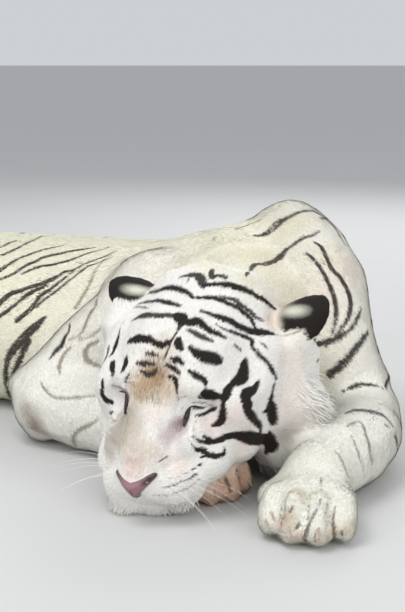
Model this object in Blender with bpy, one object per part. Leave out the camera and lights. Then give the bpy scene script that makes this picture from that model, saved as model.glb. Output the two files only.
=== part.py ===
"""A sleeping white tiger, life size, as one still body parted into named pieces.

Frame: +Z up, the floor at Z = 0, the origin under the middle of the chest. The trunk lies along X with
the shoulders towards +X, and the head is turned to look along -Y. Left and right are the tiger's own.
Each named piece is built from its muscle masses as one closed skin, and where two pieces meet, the
one further in is hollowed by the other with a hair's breadth between them.
"""

import math

import bmesh
import bpy
from mathutils import Euler, Matrix, Vector
from mathutils.bvhtree import BVHTree

# ---- driving sizes, in metres ------------------------------------------------------------------
VOXEL = 0.006  # fineness of each piece before it is thinned to facets
SMOOTH_PASSES = 7
GAP = 0.0003  # between every two pieces that meet
HEAD_TRIANGLES = 1100  # about how many facets each skin is thinned to
TRUNK_TRIANGLES = 500
FORELEG_TRIANGLES = 540
HIND_FOOT_TRIANGLES = 230
LIMB_TRIANGLES = 210
TAIL_TRIANGLES = 220
LOFT_SIDES = 20
RINGS_BETWEEN = 4

HEAD_SCALE = 1.0
HEAD_PLACE = Vector((0.034, -0.258, 0.138))  # under the nape, at the line of the jaw
HEAD_YAW, HEAD_PITCH, HEAD_ROLL = -24.0, 27.5, 6.0  # degrees: turned right, nose down, crown to its left
MUZZLE_TWIST = -11.0  # the muzzle settles level on the floor

WHITE = (0.80, 0.77, 0.70)
EAR_BLACK = (0.035, 0.028, 0.025)
LID_GREY = (0.42, 0.36, 0.34)
NOSE_PINK = (0.52, 0.27, 0.29)
CLAW_HORN = (0.55, 0.47, 0.40)


def head_matrix():
    """Head frame to body frame. In the head, +X is its left, -Y points to the nose and +Z is the crown."""
    turn = (
        Matrix.Rotation(math.radians(HEAD_YAW), 4, "Z")
        @ Matrix.Rotation(math.radians(HEAD_PITCH), 4, "X")
        @ Matrix.Rotation(math.radians(HEAD_ROLL), 4, "Y")
    )
    return Matrix.Translation(HEAD_PLACE) @ turn @ Matrix.Scale(HEAD_SCALE, 4)


HEAD = head_matrix()
BODY = Matrix.Identity(4)
MUZZLE_AXIS = Vector((0, 0, 0.08))


# ---- general tools -----------------------------------------------------------------------------
def clear_scene():
    for obj in list(bpy.data.objects):
        bpy.data.objects.remove(obj)


def material(name, colour, roughness):
    """A plain Principled material."""
    made = bpy.data.materials.new(name)
    made.use_nodes = True
    shader = made.node_tree.nodes["Principled BSDF"]
    shader.inputs["Base Color"].default_value = (*colour, 1.0)
    shader.inputs["Roughness"].default_value = roughness
    shader.inputs["Metallic"].default_value = 0.0
    return made


def object_of(name, bm, finish=None):
    """A linked object that holds the bmesh, which is freed."""
    mesh = bpy.data.meshes.new(name)
    bm.to_mesh(mesh)
    bm.free()
    obj = bpy.data.objects.new(name, mesh)
    bpy.context.scene.collection.objects.link(obj)
    if finish:
        mesh.materials.append(finish)
        mesh.shade_smooth()
    return obj


def evaluated_bmesh(obj):
    """The object's mesh with its modifiers, as a bmesh. The object is removed."""
    graph = bpy.context.evaluated_depsgraph_get()
    bm = bmesh.new()
    bm.from_object(obj, graph)
    bpy.data.objects.remove(obj)
    return bm


def catmull(values, t):
    """A smooth curve through values, which are numbers or vectors, at t from 0 to len(values) - 1."""
    i = min(int(t), len(values) - 2)
    f = t - i
    b, c = values[i], values[i + 1]
    a = values[i - 1] if i > 0 else b + (b - c)
    d = values[i + 2] if i + 2 < len(values) else c + (c - b)
    return b + ((c - a) * f + (a * 2 - b * 5 + c * 4 - d) * f * f + (b * 3 - a - c * 3 + d) * f**3) * 0.5


def loft(bm, stations, place=BODY, sides=LOFT_SIDES):
    """A closed limb through stations of (centre, half width, half height), with oval rings and filled ends."""
    centres = [Vector(s[0]) for s in stations]
    widths = [s[1] for s in stations]
    heights = [s[2] for s in stations]
    count = (len(stations) - 1) * RINGS_BETWEEN + 1
    spots = [i / RINGS_BETWEEN for i in range(count)]
    path = [catmull(centres, t) for t in spots]
    rings = []
    for i, t in enumerate(spots):
        along = (path[min(i + 1, count - 1)] - path[max(i - 1, 0)]).normalized()
        side = along.cross(Vector((0, 0, 1)))
        side = side.normalized() if side.length > 0.05 else Vector((1, 0, 0))
        up = side.cross(along)
        turn = Matrix((side, up, along)).transposed().to_4x4()
        size = Matrix.Diagonal((catmull(widths, t), catmull(heights, t), 1, 1))
        matrix = place @ Matrix.Translation(path[i]) @ turn @ size
        ring = bmesh.ops.create_circle(bm, segments=sides, radius=1, matrix=matrix)["verts"]
        rings.append(list(dict.fromkeys(e for v in ring for e in v.link_edges)))
    for one, two in zip(rings, rings[1:]):
        bmesh.ops.bridge_loops(bm, edges=one + two)
    bmesh.ops.edgeloop_fill(bm, edges=rings[0])
    bmesh.ops.edgeloop_fill(bm, edges=rings[-1])


def mass(bm, centre, radii, turn=(0, 0, 0), place=BODY):
    """An egg of muscle, fur or bone: an ellipsoid turned by degrees about X, Y and Z."""
    spin = Euler([math.radians(a) for a in turn]).to_matrix().to_4x4()
    matrix = place @ Matrix.Translation(centre) @ spin @ Matrix.Diagonal((*radii, 1))
    bmesh.ops.create_icosphere(bm, subdivisions=3, radius=1, matrix=matrix)


def both_sides(bm, centre, radii, turn=(0, 0, 0)):
    """The same mass on the left and the right of the head."""
    for side in (1, -1):
        spot = (side * centre[0], centre[1], centre[2])
        mass(bm, spot, radii, (turn[0], side * turn[1], side * turn[2]), HEAD)


# ---- the masses of the body --------------------------------------------------------------------
def add_trunk(bm):
    """Rump, loin, barrel and chest, settled on the floor, with the shoulder blades above the spine."""
    loft(
        bm,
        [
            ((-0.985, 0.445, 0.140), 0.060, 0.065),
            ((-0.920, 0.425, 0.150), 0.130, 0.135),
            ((-0.800, 0.385, 0.150), 0.182, 0.180),
            ((-0.620, 0.312, 0.134), 0.190, 0.182),
            ((-0.420, 0.225, 0.128), 0.204, 0.184),
            ((-0.220, 0.138, 0.130), 0.212, 0.186),
            ((-0.060, 0.055, 0.132), 0.205, 0.188),
            ((0.070, -0.010, 0.150), 0.182, 0.206),
            ((0.125, -0.120, 0.140), 0.140, 0.170),
            ((0.130, -0.200, 0.120), 0.090, 0.110),
        ],
    )
    mass(bm, (-0.79, 0.37, 0.240), (0.150, 0.120, 0.100), (0, 0, -24))  # croup


def add_neck(bm):
    """The thick neck, bent down to the sleeping head, with the loose skin of the throat."""
    loft(
        bm,
        [
            ((0.070, 0.040, 0.210), 0.130, 0.145),
            ((0.078, -0.070, 0.205), 0.148, 0.150),
            ((0.068, -0.170, 0.200), 0.148, 0.140),
            ((0.048, -0.260, 0.205), 0.138, 0.132),
            ((0.028, -0.320, 0.205), 0.120, 0.118),
            ((0.012, -0.360, 0.205), 0.085, 0.090),
        ],
    )
    mass(bm, (0.04, -0.22, 0.12), (0.130, 0.110, 0.100), (20, 0, 0))
    mass(bm, (0.088, -0.040, 0.287), (0.112, 0.105, 0.086))  # withers


def add_left_upper(bm):
    """Shoulder blade and upper arm beside the chest."""
    mass(bm, (0.155, -0.020, 0.290), (0.095, 0.125, 0.119), (-14, 8, -20))
    mass(bm, (0.180, -0.085, 0.272), (0.096, 0.110, 0.116), (-10, 0, -12))
    mass(bm, (0.195, -0.145, 0.238), (0.098, 0.120, 0.124), (-10, 0, -10))
    loft(
        bm,
        [
            ((0.178, -0.110, 0.290), 0.077, 0.080),
            ((0.197, -0.170, 0.225), 0.088, 0.098),
            ((0.214, -0.215, 0.150), 0.082, 0.096),
            ((0.242, -0.225, 0.090), 0.068, 0.084),
            ((0.250, -0.215, 0.060), 0.052, 0.064),
        ],
    )


def add_left_lower(bm):
    """Forearm laid forwards along the floor, and its paw."""
    add_paw(bm, *FORE_PAWS["left"])
    loft(
        bm,
        [
            ((0.270, -0.165, 0.058), 0.046, 0.048),
            ((0.268, -0.235, 0.064), 0.066, 0.070),
            ((0.262, -0.330, 0.066), 0.066, 0.068),
            ((0.229, -0.418, 0.061), 0.061, 0.062),
            ((0.180, -0.480, 0.054), 0.055, 0.056),
            ((0.160, -0.530, 0.050), 0.057, 0.053),
        ],
    )


def add_right_upper(bm):
    """Shoulder, and the upper arm back to the elbow."""
    mass(bm, (-0.060, -0.055, 0.200), (0.135, 0.110, 0.125), (0, 20, 20))
    loft(
        bm,
        [
            ((-0.060, -0.090, 0.205), 0.085, 0.090),
            ((-0.120, -0.110, 0.175), 0.092, 0.096),
            ((-0.190, -0.125, 0.130), 0.084, 0.090),
            ((-0.256, -0.135, 0.080), 0.070, 0.072),
            ((-0.278, -0.132, 0.062), 0.054, 0.055),
        ],
    )


def add_right_lower(bm):
    """Forearm folded across under the jaw, and its paw."""
    add_paw(bm, *FORE_PAWS["right"])
    loft(
        bm,
        [
            ((-0.315, -0.118, 0.058), 0.048, 0.052),
            ((-0.273, -0.149, 0.069), 0.081, 0.081),
            ((-0.188, -0.209, 0.064), 0.073, 0.073),
            ((-0.122, -0.268, 0.053), 0.062, 0.060),
            ((-0.068, -0.328, 0.043), 0.050, 0.048),
            ((-0.030, -0.375, 0.038), 0.048, 0.044),
        ],
    )


# Each paw: where its heel is, the heading of its toes in degrees from -Y towards +X, size, dew claw side.
FORE_PAWS = {
    "left": ((0.158, -0.562, 0.026), -12.0, 1.08, -1),
    "right": ((-0.012, -0.408, 0.022), 28.0, 1.01, 0),
}
HIND_PAWS = {
    "right": ((-0.640, -0.075, 0.022), 62.0, 0.92, 0),
    "left": ((-0.560, 0.610, 0.022), 96.0, 0.92, 0),
}
# Toes across the paw: sideways, forwards, size. The two middle toes reach furthest.
TOES = [(-0.046, 0.050, 0.92), (-0.017, 0.072, 1.0), (0.016, 0.073, 1.0), (0.045, 0.052, 0.92)]


def paw_matrix(heel, heading, size):
    """Paw frame to body frame: in the paw, -Y points to the toes and +X to the tiger's left."""
    return Matrix.Translation(heel) @ Matrix.Rotation(math.radians(heading), 4, "Z") @ Matrix.Scale(size, 4)


def add_paw(bm, heel, heading, size, dew_side):
    """A broad soft foot: the knuckle mass, four toes with a rise at each knuckle, and the dew claw's pad."""
    place = paw_matrix(heel, heading, size)
    mass(bm, (0, 0.036, 0.012), (0.050, 0.066, 0.045), place=place)
    mass(bm, (0, -0.010, 0.008), (0.062, 0.052, 0.043), place=place)
    for across, ahead, toe in TOES:
        splay = math.degrees(math.atan2(across, ahead + 0.10))
        mass(bm, (across, -ahead + 0.012, 0.016), (0.019 * toe, 0.036, 0.029 * toe), (14, 0, splay), place)
        tip = (across * 1.05, -ahead - 0.008, -0.002)
        mass(bm, tip, (0.0185 * toe, 0.024, 0.024 * toe), (0, 0, splay), place)
    if dew_side:
        mass(bm, (dew_side * 0.058, 0.018, 0.004), (0.020, 0.030, 0.024), (0, 0, dew_side * 15), place)


def add_thigh(bm, side):
    """The heavy thigh of a folded hind leg."""
    hip, knee, _, _ = map(Vector, HIND_LEGS[side])
    loft(
        bm,
        [
            (hip, 0.090, 0.105),
            (hip.lerp(knee, 0.30), 0.104, 0.138),
            (hip.lerp(knee, 0.62), 0.094, 0.122),
            (knee, 0.070, 0.086),
            (knee + (knee - hip) * 0.14, 0.040, 0.050),
        ],
    )


def add_shank(bm, side):
    """The shank, laid back along the floor to the hock."""
    _, knee, hock, _ = map(Vector, HIND_LEGS[side])
    loft(
        bm,
        [
            (knee.lerp(hock, -0.10), 0.050, 0.060),
            (knee.lerp(hock, 0.15), 0.068, 0.078),
            (knee.lerp(hock, 0.60), 0.050, 0.058),
            (hock, 0.036, 0.042),
            (hock.lerp(knee, -0.10), 0.024, 0.028),
        ],
    )


def add_hind_foot(bm, side):
    """The long foot from the hock forwards to the paw."""
    _, _, hock, heel = map(Vector, HIND_LEGS[side])
    loft(
        bm,
        [
            (hock + (hock - heel) * 0.10, 0.024, 0.026),
            (hock, 0.034, 0.036),
            (hock.lerp(heel, 0.5), 0.037, 0.036),
            (heel, 0.046, 0.040),
        ],
    )
    add_paw(bm, *HIND_PAWS[side])


HIND_LEGS = {
    "right": ((-0.770, 0.265, 0.175), (-0.575, 0.085, 0.125), (-0.845, 0.020, 0.046), (-0.640, -0.065, 0.034)),
    "left": ((-0.800, 0.480, 0.175), (-0.560, 0.490, 0.125), (-0.800, 0.640, 0.046), (-0.575, 0.612, 0.034)),
}

TAIL = [
    ((-0.960, 0.440, 0.160), 0.056, 0.060),
    ((-1.040, 0.462, 0.105), 0.046, 0.050),
    ((-1.120, 0.455, 0.052), 0.040, 0.042),
    ((-1.195, 0.390, 0.034), 0.037, 0.036),
    ((-1.235, 0.280, 0.031), 0.035, 0.034),
    ((-1.225, 0.150, 0.030), 0.034, 0.033),
    ((-1.160, 0.040, 0.029), 0.033, 0.032),
    ((-1.060, -0.035, 0.028), 0.031, 0.031),
    ((-0.950, -0.075, 0.026), 0.029, 0.029),
    ((-0.860, -0.085, 0.022), 0.022, 0.023),
    ((-0.830, -0.085, 0.018), 0.010, 0.012),
]


# ---- the head ----------------------------------------------------------------------------------
def add_head(bm):
    """Skull, cheeks, brows, the broad straight bridge, muzzle with its whisker pads, chin and jaw."""
    mass(bm, (0, -0.105, 0.135), (0.108, 0.135, 0.092), place=HEAD)
    mass(bm, (0, -0.025, 0.142), (0.112, 0.095, 0.088), place=HEAD)
    mass(bm, (0, -0.190, 0.150), (0.078, 0.070, 0.045), (16, 0, 0), HEAD)
    loft(
        bm,
        [
            ((0, -0.170, 0.140), 0.062, 0.050),
            ((0, -0.225, 0.128), 0.051, 0.043),
            ((0, -0.268, 0.111), 0.045, 0.037),
            ((0, -0.300, 0.099), 0.041, 0.031),
            ((0, -0.322, 0.094), 0.032, 0.022),
        ],
        HEAD,
    )
    mass(bm, (0, -0.252, 0.068), (0.066, 0.088, 0.048), place=HEAD)
    mass(bm, (0, -0.285, 0.024), (0.038, 0.044, 0.028), place=HEAD)
    loft(
        bm,
        [
            ((0, -0.285, 0.030), 0.038, 0.026),
            ((0, -0.200, 0.036), 0.062, 0.038),
            ((0, -0.110, 0.046), 0.088, 0.050),
            ((0, -0.030, 0.060), 0.098, 0.058),
        ],
        HEAD,
    )
    both_sides(bm, (0.037, -0.295, 0.062), (0.040, 0.043, 0.035), (0, 12, -12))
    both_sides(bm, (0.066, -0.215, 0.066), (0.040, 0.080, 0.042), (0, 8, 14))
    both_sides(bm, (0.050, -0.235, 0.098), (0.036, 0.058, 0.036), (0, 20, 8))
    both_sides(bm, (0.088, -0.140, 0.056), (0.044, 0.085, 0.046), (0, 0, 10))
    both_sides(bm, (0.040, -0.280, 0.036), (0.034, 0.042, 0.030), (0, 0, -10))
    both_sides(bm, (0.050, -0.208, 0.160), (0.034, 0.028, 0.019), (10, 14, 10))
    both_sides(bm, (0.080, -0.155, 0.112), (0.046, 0.076, 0.054), (0, 10, 14))
    both_sides(bm, (0.094, -0.085, 0.105), (0.056, 0.084, 0.076), (0, 0, 8))
    both_sides(bm, (0.124, -0.038, 0.072), (0.054, 0.058, 0.096), (8, 12, 18))
    mass(bm, (0.140, -0.046, 0.004), (0.052, 0.056, 0.078), (0, 12, 14), HEAD)  # the ruff hangs on this side
    mass(bm, (0.140, -0.060, -0.020), (0.048, 0.056, 0.064), (0, 12, 14), HEAD)
    mass(bm, (0.128, -0.408, 0.130), (0.063, 0.052, 0.062))
    mass(bm, (0.124, -0.398, 0.080), (0.061, 0.050, 0.057))
    mass(bm, (-0.040, -0.310, 0.033), (0.030, 0.030, 0.026), place=HEAD)  # chin, spread on the floor


def twist_muzzle(bm):
    """Turns the muzzle about the length of the head, more and more towards the nose."""
    back = HEAD.inverted()
    for vert in bm.verts:
        spot = back @ vert.co
        if spot.y < -0.20 and abs(spot.x) < 0.11:
            part = min(1.0, (-0.20 - spot.y) / 0.08)
            turn = Matrix.Rotation(math.radians(MUZZLE_TWIST) * part, 4, "Y")
            vert.co = HEAD @ (turn @ (spot - MUZZLE_AXIS) + MUZZLE_AXIS)


def nudge(bm, where, reach, move):
    """Moves the surface near a spot of the head by a head-frame offset that fades out at reach."""
    centre = HEAD @ Vector(where)
    shift = HEAD.to_3x3() @ Vector(move)
    radius = reach * HEAD_SCALE
    for vert in bm.verts:
        far = (vert.co - centre).length / radius
        if far < 1:
            vert.co += shift * (1 - far * far) ** 2


def shape_face(bm):
    """Sinks the eye sockets, the hollow beside the bridge, the cleft of the lip, and draws out the brow."""
    for side in (1, -1):
        nudge(bm, (side * 0.056, -0.228, 0.145), 0.034, (-side * 0.004, 0.010, -0.003))
        nudge(bm, (side * 0.040, -0.258, 0.118), 0.030, (-side * 0.005, 0.002, -0.004))
        nudge(bm, (side * 0.046, -0.214, 0.172), 0.030, (side * 0.001, -0.005, 0.004))
        nudge(bm, (side * 0.066, -0.258, 0.040), 0.030, (-side * 0.006, 0.004, 0.002))
    nudge(bm, (0, -0.346, 0.058), 0.020, (0, 0.008, 0))
    nudge(bm, (-0.100, -0.245, 0.095), 0.062, (0.012, 0, 0))  # the cheek it lies on is pressed in
    nudge(bm, (0, -0.215, 0.178), 0.030, (0, 0.003, -0.003))
    twist_muzzle(bm)


def nose_piece(finish):
    """The bare nose: a wide rounded wedge, narrow below, with the wings curling back at its sides."""
    bm = bmesh.new()
    bmesh.ops.create_uvsphere(bm, u_segments=12, v_segments=8, radius=1)
    bmesh.ops.triangulate(bm, faces=bm.faces[:])
    for vert in bm.verts:
        x, y, z = vert.co
        width = 0.042 * (0.64 + 0.36 * max(-1.0, min(1.0, z * 1.3)))
        wing = 0.010 * abs(x) ** 2
        vert.co = Vector((x * width, y * 0.017 + wing, z * 0.021 + 0.004 * abs(x)))
    tilt = Matrix.Translation((0, -0.331, 0.086)) @ Matrix.Rotation(math.radians(-12), 4, "X")
    bmesh.ops.transform(bm, matrix=HEAD @ tilt, verts=bm.verts)
    twist_muzzle(bm)
    return object_of("nose", bm, finish)


def eye_piece(name, side, finish):
    """One shut eye: the lids drawn over the ball, a low dome longer along the slit."""
    bm = bmesh.new()
    bmesh.ops.create_icosphere(bm, subdivisions=2, radius=1)
    turn = Euler((math.radians(-38), math.radians(side * 28), math.radians(side * 34))).to_matrix().to_4x4()
    socket = Matrix.Translation((side * 0.052, -0.223, 0.141))
    matrix = socket @ turn @ Matrix.Diagonal((0.020, 0.014, 0.014, 1))
    bmesh.ops.transform(bm, matrix=HEAD @ matrix, verts=bm.verts)
    return object_of(name, bm, finish)


# For each ear, in the head frame: its root, the way it is held out, the way its black back faces; its length.
EARS = {
    "ear_left": ((0.100, -0.032, 0.166), Vector((0.90, 0.22, 0.32)), Vector((0.05, -0.42, 0.90)), 0.101),
    "ear_right": ((-0.092, -0.034, 0.166), Vector((-0.92, 0.32, -0.04)), Vector((-0.10, -0.40, 0.90)), 0.092),
}
EAR_WIDTH, EAR_THICK = 0.074, 0.013


def ear_piece(name, finish):
    """A round cupped ear: a grid disc bent into a shell with its tip turned up, its root in the head."""
    root, axis, back, length = EARS[name]
    bm = bmesh.new()
    bmesh.ops.create_grid(bm, x_segments=6, y_segments=6, size=1)
    for vert in bm.verts:
        u, v = vert.co.x, vert.co.y
        x, y = u * math.sqrt(1 - v * v / 2), v * math.sqrt(1 - u * u / 2)
        taper = 0.78 + 0.22 * min(1.0, (y + 1) * 0.8)
        lift = 0.010 * y * abs(y) - 0.022 * x * x
        vert.co = Vector((x * taper * EAR_WIDTH / 2, lift, (y + 0.80) * length / 1.8))
    bmesh.ops.solidify(bm, geom=bm.faces[:], thickness=EAR_THICK)
    bmesh.ops.triangulate(bm, faces=bm.faces[:])
    axis = axis.normalized()
    back = (back - axis * back.dot(axis)).normalized()
    across = back.cross(axis)
    turn = Matrix((across, back, axis)).transposed().to_4x4()
    bmesh.ops.transform(bm, matrix=HEAD @ Matrix.Translation(root) @ turn, verts=bm.verts)
    bmesh.ops.recalc_face_normals(bm, faces=bm.faces[:])
    return object_of(name, bm, finish)


def claw_pieces(kind, side, spec, finish):
    """Four drawn-in claws on one foot, only the points showing between the toe and its fur."""
    heel, heading, size, _ = spec
    place = paw_matrix(heel, heading, size)
    made = []
    for number, (across, ahead, toe) in enumerate(TOES, 1):
        bm = bmesh.new()
        bmesh.ops.create_cone(bm, cap_ends=True, segments=5, radius1=0.0042, radius2=0.0011, depth=0.024)
        point = Matrix.Translation((across * 1.10, -ahead - 0.022 * toe - 0.006, 0.004))
        dip = Matrix.Rotation(math.radians(118), 4, "X")
        bmesh.ops.transform(bm, matrix=place @ point @ dip, verts=bm.verts)
        bmesh.ops.triangulate(bm, faces=bm.faces[:])
        made.append(object_of(f"claw_{kind}_{side}_{number}", bm, finish))
    return made


# ---- making, thinning and parting the pieces ---------------------------------------------------
def smooth_skin(add, *sizes):
    """The masses that add() lays down, as one smooth closed skin."""
    bm = bmesh.new()
    add(bm, *sizes)
    bmesh.ops.recalc_face_normals(bm, faces=bm.faces[:])
    rough = object_of("rough", bm)
    remesh = rough.modifiers.new("one_skin", "REMESH")
    remesh.mode, remesh.voxel_size = "VOXEL", VOXEL
    soften = rough.modifiers.new("soften", "SMOOTH")
    soften.factor, soften.iterations = 0.5, SMOOTH_PASSES
    return evaluated_bmesh(rough)


def thinned(bm, triangles, keep_fine):
    """The skin in so many triangles, smaller within the (centre, reach) balls, and cut flat at the floor."""
    bmesh.ops.triangulate(bm, faces=bm.faces[:])
    dense = len(bm.faces)
    fine = object_of("fine", bm)
    group = fine.vertex_groups.new(name="thin_here")
    for vert in fine.data.vertices:
        near = any((vert.co - Vector(centre)).length < reach for centre, reach in keep_fine)
        group.add([vert.index], 0.25 if near else 1.0, "REPLACE")
    thin = fine.modifiers.new("thin", "DECIMATE")
    thin.ratio = triangles / dense
    thin.vertex_group = group.name
    thin.vertex_group_factor = 1.0
    bm = evaluated_bmesh(fine)
    return cut_by_plane(bm, (0, 0, 0), (0, 0, 1))


def cut_by_plane(bm, point, normal):
    """Keeps the side of the plane the normal points to, with a flat face on the cut."""
    everything = bm.verts[:] + bm.edges[:] + bm.faces[:]
    bmesh.ops.bisect_plane(bm, geom=everything, plane_co=point, plane_no=normal, clear_inner=True)
    bmesh.ops.holes_fill(bm, edges=[e for e in bm.edges if e.is_boundary])
    bmesh.ops.triangulate(bm, faces=bm.faces[:])
    bmesh.ops.recalc_face_normals(bm, faces=bm.faces[:])
    return bm


def swollen(obj, by):
    """A copy of a piece, larger by so much on every side, as a bmesh."""
    bm = bmesh.new()
    bm.from_mesh(obj.data)
    bm.normal_update()
    for vert in bm.verts:
        vert.co += vert.normal * by
    return bm


def meets(one, bm):
    """Whether the skin of an object crosses the skin of a mesh."""
    mine = bmesh.new()
    mine.from_mesh(one.data)
    crossings = BVHTree.FromBMesh(mine).overlap(BVHTree.FromBMesh(bm))
    mine.free()
    return bool(crossings)


def islands(bm):
    """The separate bodies in a mesh, as lists of faces, the biggest first."""
    bm.faces.ensure_lookup_table()
    seen, found = set(), []
    for start in bm.faces:
        if start in seen:
            continue
        seen.add(start)
        body = [start]
        for face in body:
            for edge in face.edges:
                for other in edge.link_faces:
                    if other not in seen:
                        seen.add(other)
                        body.append(other)
        found.append(body)
    return sorted(found, key=lambda body: -sum(f.calc_area() for f in body))


def without_slivers(bm):
    """The mesh in triangles with its shortest edges closed up, where that leaves it whole."""
    bmesh.ops.triangulate(bm, faces=bm.faces[:])
    for shortest in (0.00015, 0.00005):
        trial = bm.copy()
        bmesh.ops.dissolve_degenerate(trial, dist=shortest, edges=trial.edges[:])
        bmesh.ops.triangulate(trial, faces=trial.faces[:])
        if all(edge.is_manifold for edge in trial.edges) and len(islands(trial)) == 1:
            bm.free()
            return trial
        trial.free()
    return bm


def less(obj, bm, folds):
    """The object's mesh with the solid in bm taken out, or None if the result is not one sound body."""
    tool = object_of("tool", bm)
    cut = obj.modifiers.new("hollow", "BOOLEAN")
    cut.operation, cut.solver, cut.object, cut.use_self = "DIFFERENCE", "EXACT", tool, folds
    result = bmesh.new()
    result.from_object(obj, bpy.context.evaluated_depsgraph_get())
    obj.modifiers.remove(cut)
    bpy.data.objects.remove(tool)
    for crumb in islands(result)[1:]:
        bmesh.ops.delete(result, geom=crumb, context="FACES")
    whole = bmesh.new()
    whole.from_mesh(obj.data)
    enough = whole.calc_volume() * 0.4
    whole.free()
    if result.calc_volume() > enough and all(edge.is_manifold for edge in result.edges):
        return without_slivers(result)
    result.free()
    return None


def hollowed(full, others, finish):
    """A copy of the piece with each other piece, a little swollen, taken out; its main body is kept."""
    name = full.name
    full.name = f"full_{name}"
    obj = object_of(name, swollen(full, 0), finish)
    for other in others:
        for share, folds in ((1.0, False), (1.0, True), (1.2, False), (1.2, True), (1.6, False), (1.6, True)):
            tool = swollen(other, GAP * share)
            if not meets(obj, tool):
                tool.free()
                break
            result = less(obj, tool, folds)
            if result:
                bpy.data.objects.remove(obj)
                obj = object_of(name, result, finish)
                break
    return obj


def lengths(bm, names, cuts, finish):
    """Parts a long body at planes of (point, normal), in order along it, into the named lengths."""
    made = []
    for number, name in enumerate(names):
        piece = bm.copy()
        if number > 0:
            point, normal = cuts[number - 1]
            normal = Vector(normal).normalized()
            cut_by_plane(piece, Vector(point) + normal * GAP / 2, normal)
        if number < len(cuts):
            point, normal = cuts[number]
            normal = Vector(normal).normalized()
            cut_by_plane(piece, Vector(point) - normal * GAP / 2, -normal)
        for crumb in islands(piece)[1:]:
            bmesh.ops.delete(piece, geom=crumb, context="FACES")
        made.append(object_of(name, piece, finish))
    bm.free()
    return made


def foreleg_groups(side, coat):
    """Forearm, paw and upper arm of one foreleg, the wrist cut square across."""
    upper, lower = {"left": (add_left_upper, add_left_lower), "right": (add_right_upper, add_right_lower)}[side]
    heel = Vector(FORE_PAWS[side][0])
    turn = Matrix.Rotation(math.radians(FORE_PAWS[side][1]), 3, "Z")
    wrist = (heel + turn @ Vector((0, 0.075, 0.01)), turn @ Vector((0, -1, 0)))
    lower_skin = thinned(smooth_skin(lower), FORELEG_TRIANGLES, [(heel, 0.13)])
    names = [f"forearm_{side}", f"forepaw_{side}"]
    arm = object_of(f"upper_arm_{side}", thinned(smooth_skin(upper), LIMB_TRIANGLES, []), coat)
    return [lengths(lower_skin, names, [wrist], coat), [arm]]


def hind_leg_groups(side, coat):
    """Foot, shank and thigh of one folded hind leg."""
    near_paw = [(HIND_LEGS[side][3], 0.12)]
    foot = thinned(smooth_skin(add_hind_foot, side), HIND_FOOT_TRIANGLES, near_paw)
    shank = thinned(smooth_skin(add_shank, side), LIMB_TRIANGLES // 2, [])
    thigh = thinned(smooth_skin(add_thigh, side), LIMB_TRIANGLES // 2, [])
    named = ((f"hindpaw_{side}", foot), (f"shank_{side}", shank), (f"thigh_{side}", thigh))
    return [[object_of(name, bm, coat)] for name, bm in named]


def trunk_pieces(coat):
    """Neck, chest and loin, parted square across."""

    def masses(bm):
        add_trunk(bm)
        add_neck(bm)

    cuts = [((0.075, -0.130, 0.2), (-0.10, 1.0, 0.10)), ((-0.40, 0.215, 0.15), (-0.887, 0.40, 0.0))]
    return lengths(thinned(smooth_skin(masses), TRUNK_TRIANGLES, []), ["neck", "chest", "loin"], cuts, coat)


def tail_pieces(coat):
    """The tail in four lengths, laid round on the floor."""
    names = [f"tail_{number}" for number in (1, 2, 3, 4)]
    cuts = [
        ((-1.130, 0.440, 0.05), (-0.55, -0.83, 0)),
        ((-1.235, 0.240, 0.03), (0, -1, 0)),
        ((-1.130, 0.020, 0.03), (0.30, -0.95, 0)),
    ]
    return lengths(thinned(smooth_skin(loft, TAIL), TAIL_TRIANGLES, []), names, cuts, coat)


def head_flesh(coat):
    """The head, finest on the face."""
    bm = smooth_skin(add_head)
    shape_face(bm)
    fine_places = [(HEAD @ Vector((0, -0.25, 0.10)), 0.15)]
    return object_of("head", thinned(bm, HEAD_TRIANGLES, fine_places), coat)


def main():
    clear_scene()
    coat = material("white_coat", WHITE, 0.85)
    horn = material("claw_horn", CLAW_HORN, 0.4)
    lids = material("eyelid", LID_GREY, 0.6)
    black = material("ear_black", EAR_BLACK, 0.85)

    small = [nose_piece(material("nose_leather", NOSE_PINK, 0.45))]
    small += [eye_piece("eye_left", 1, lids), eye_piece("eye_right", -1, lids)]
    small += [ear_piece(name, black) for name in EARS]
    for kind, paws in (("fore", FORE_PAWS), ("hind", HIND_PAWS)):
        for side, spec in paws.items():
            small += claw_pieces(kind, side, spec, horn)

    # From the outermost inwards: each group of pieces is hollowed by the groups before it and by the small ones.
    groups = [[head_flesh(coat)]]
    for side in ("left", "right"):
        groups += foreleg_groups(side, coat)
        groups += hind_leg_groups(side, coat)
    groups += [tail_pieces(coat), trunk_pieces(coat)]
    before = []
    for group in groups:
        for full in group:
            hollowed(full, before + small, coat)
        before += group
    for full in before:
        bpy.data.objects.remove(full)


main()
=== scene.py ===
"""The looks of a sleeping white tiger, life size: one skin, a coat of tufts, lids, nose and whiskers."""

import math

import bmesh
import bpy
import numpy as np
from mathutils import Matrix, Vector
from mathutils.bvhtree import BVHTree
from mathutils.kdtree import KDTree


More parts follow.
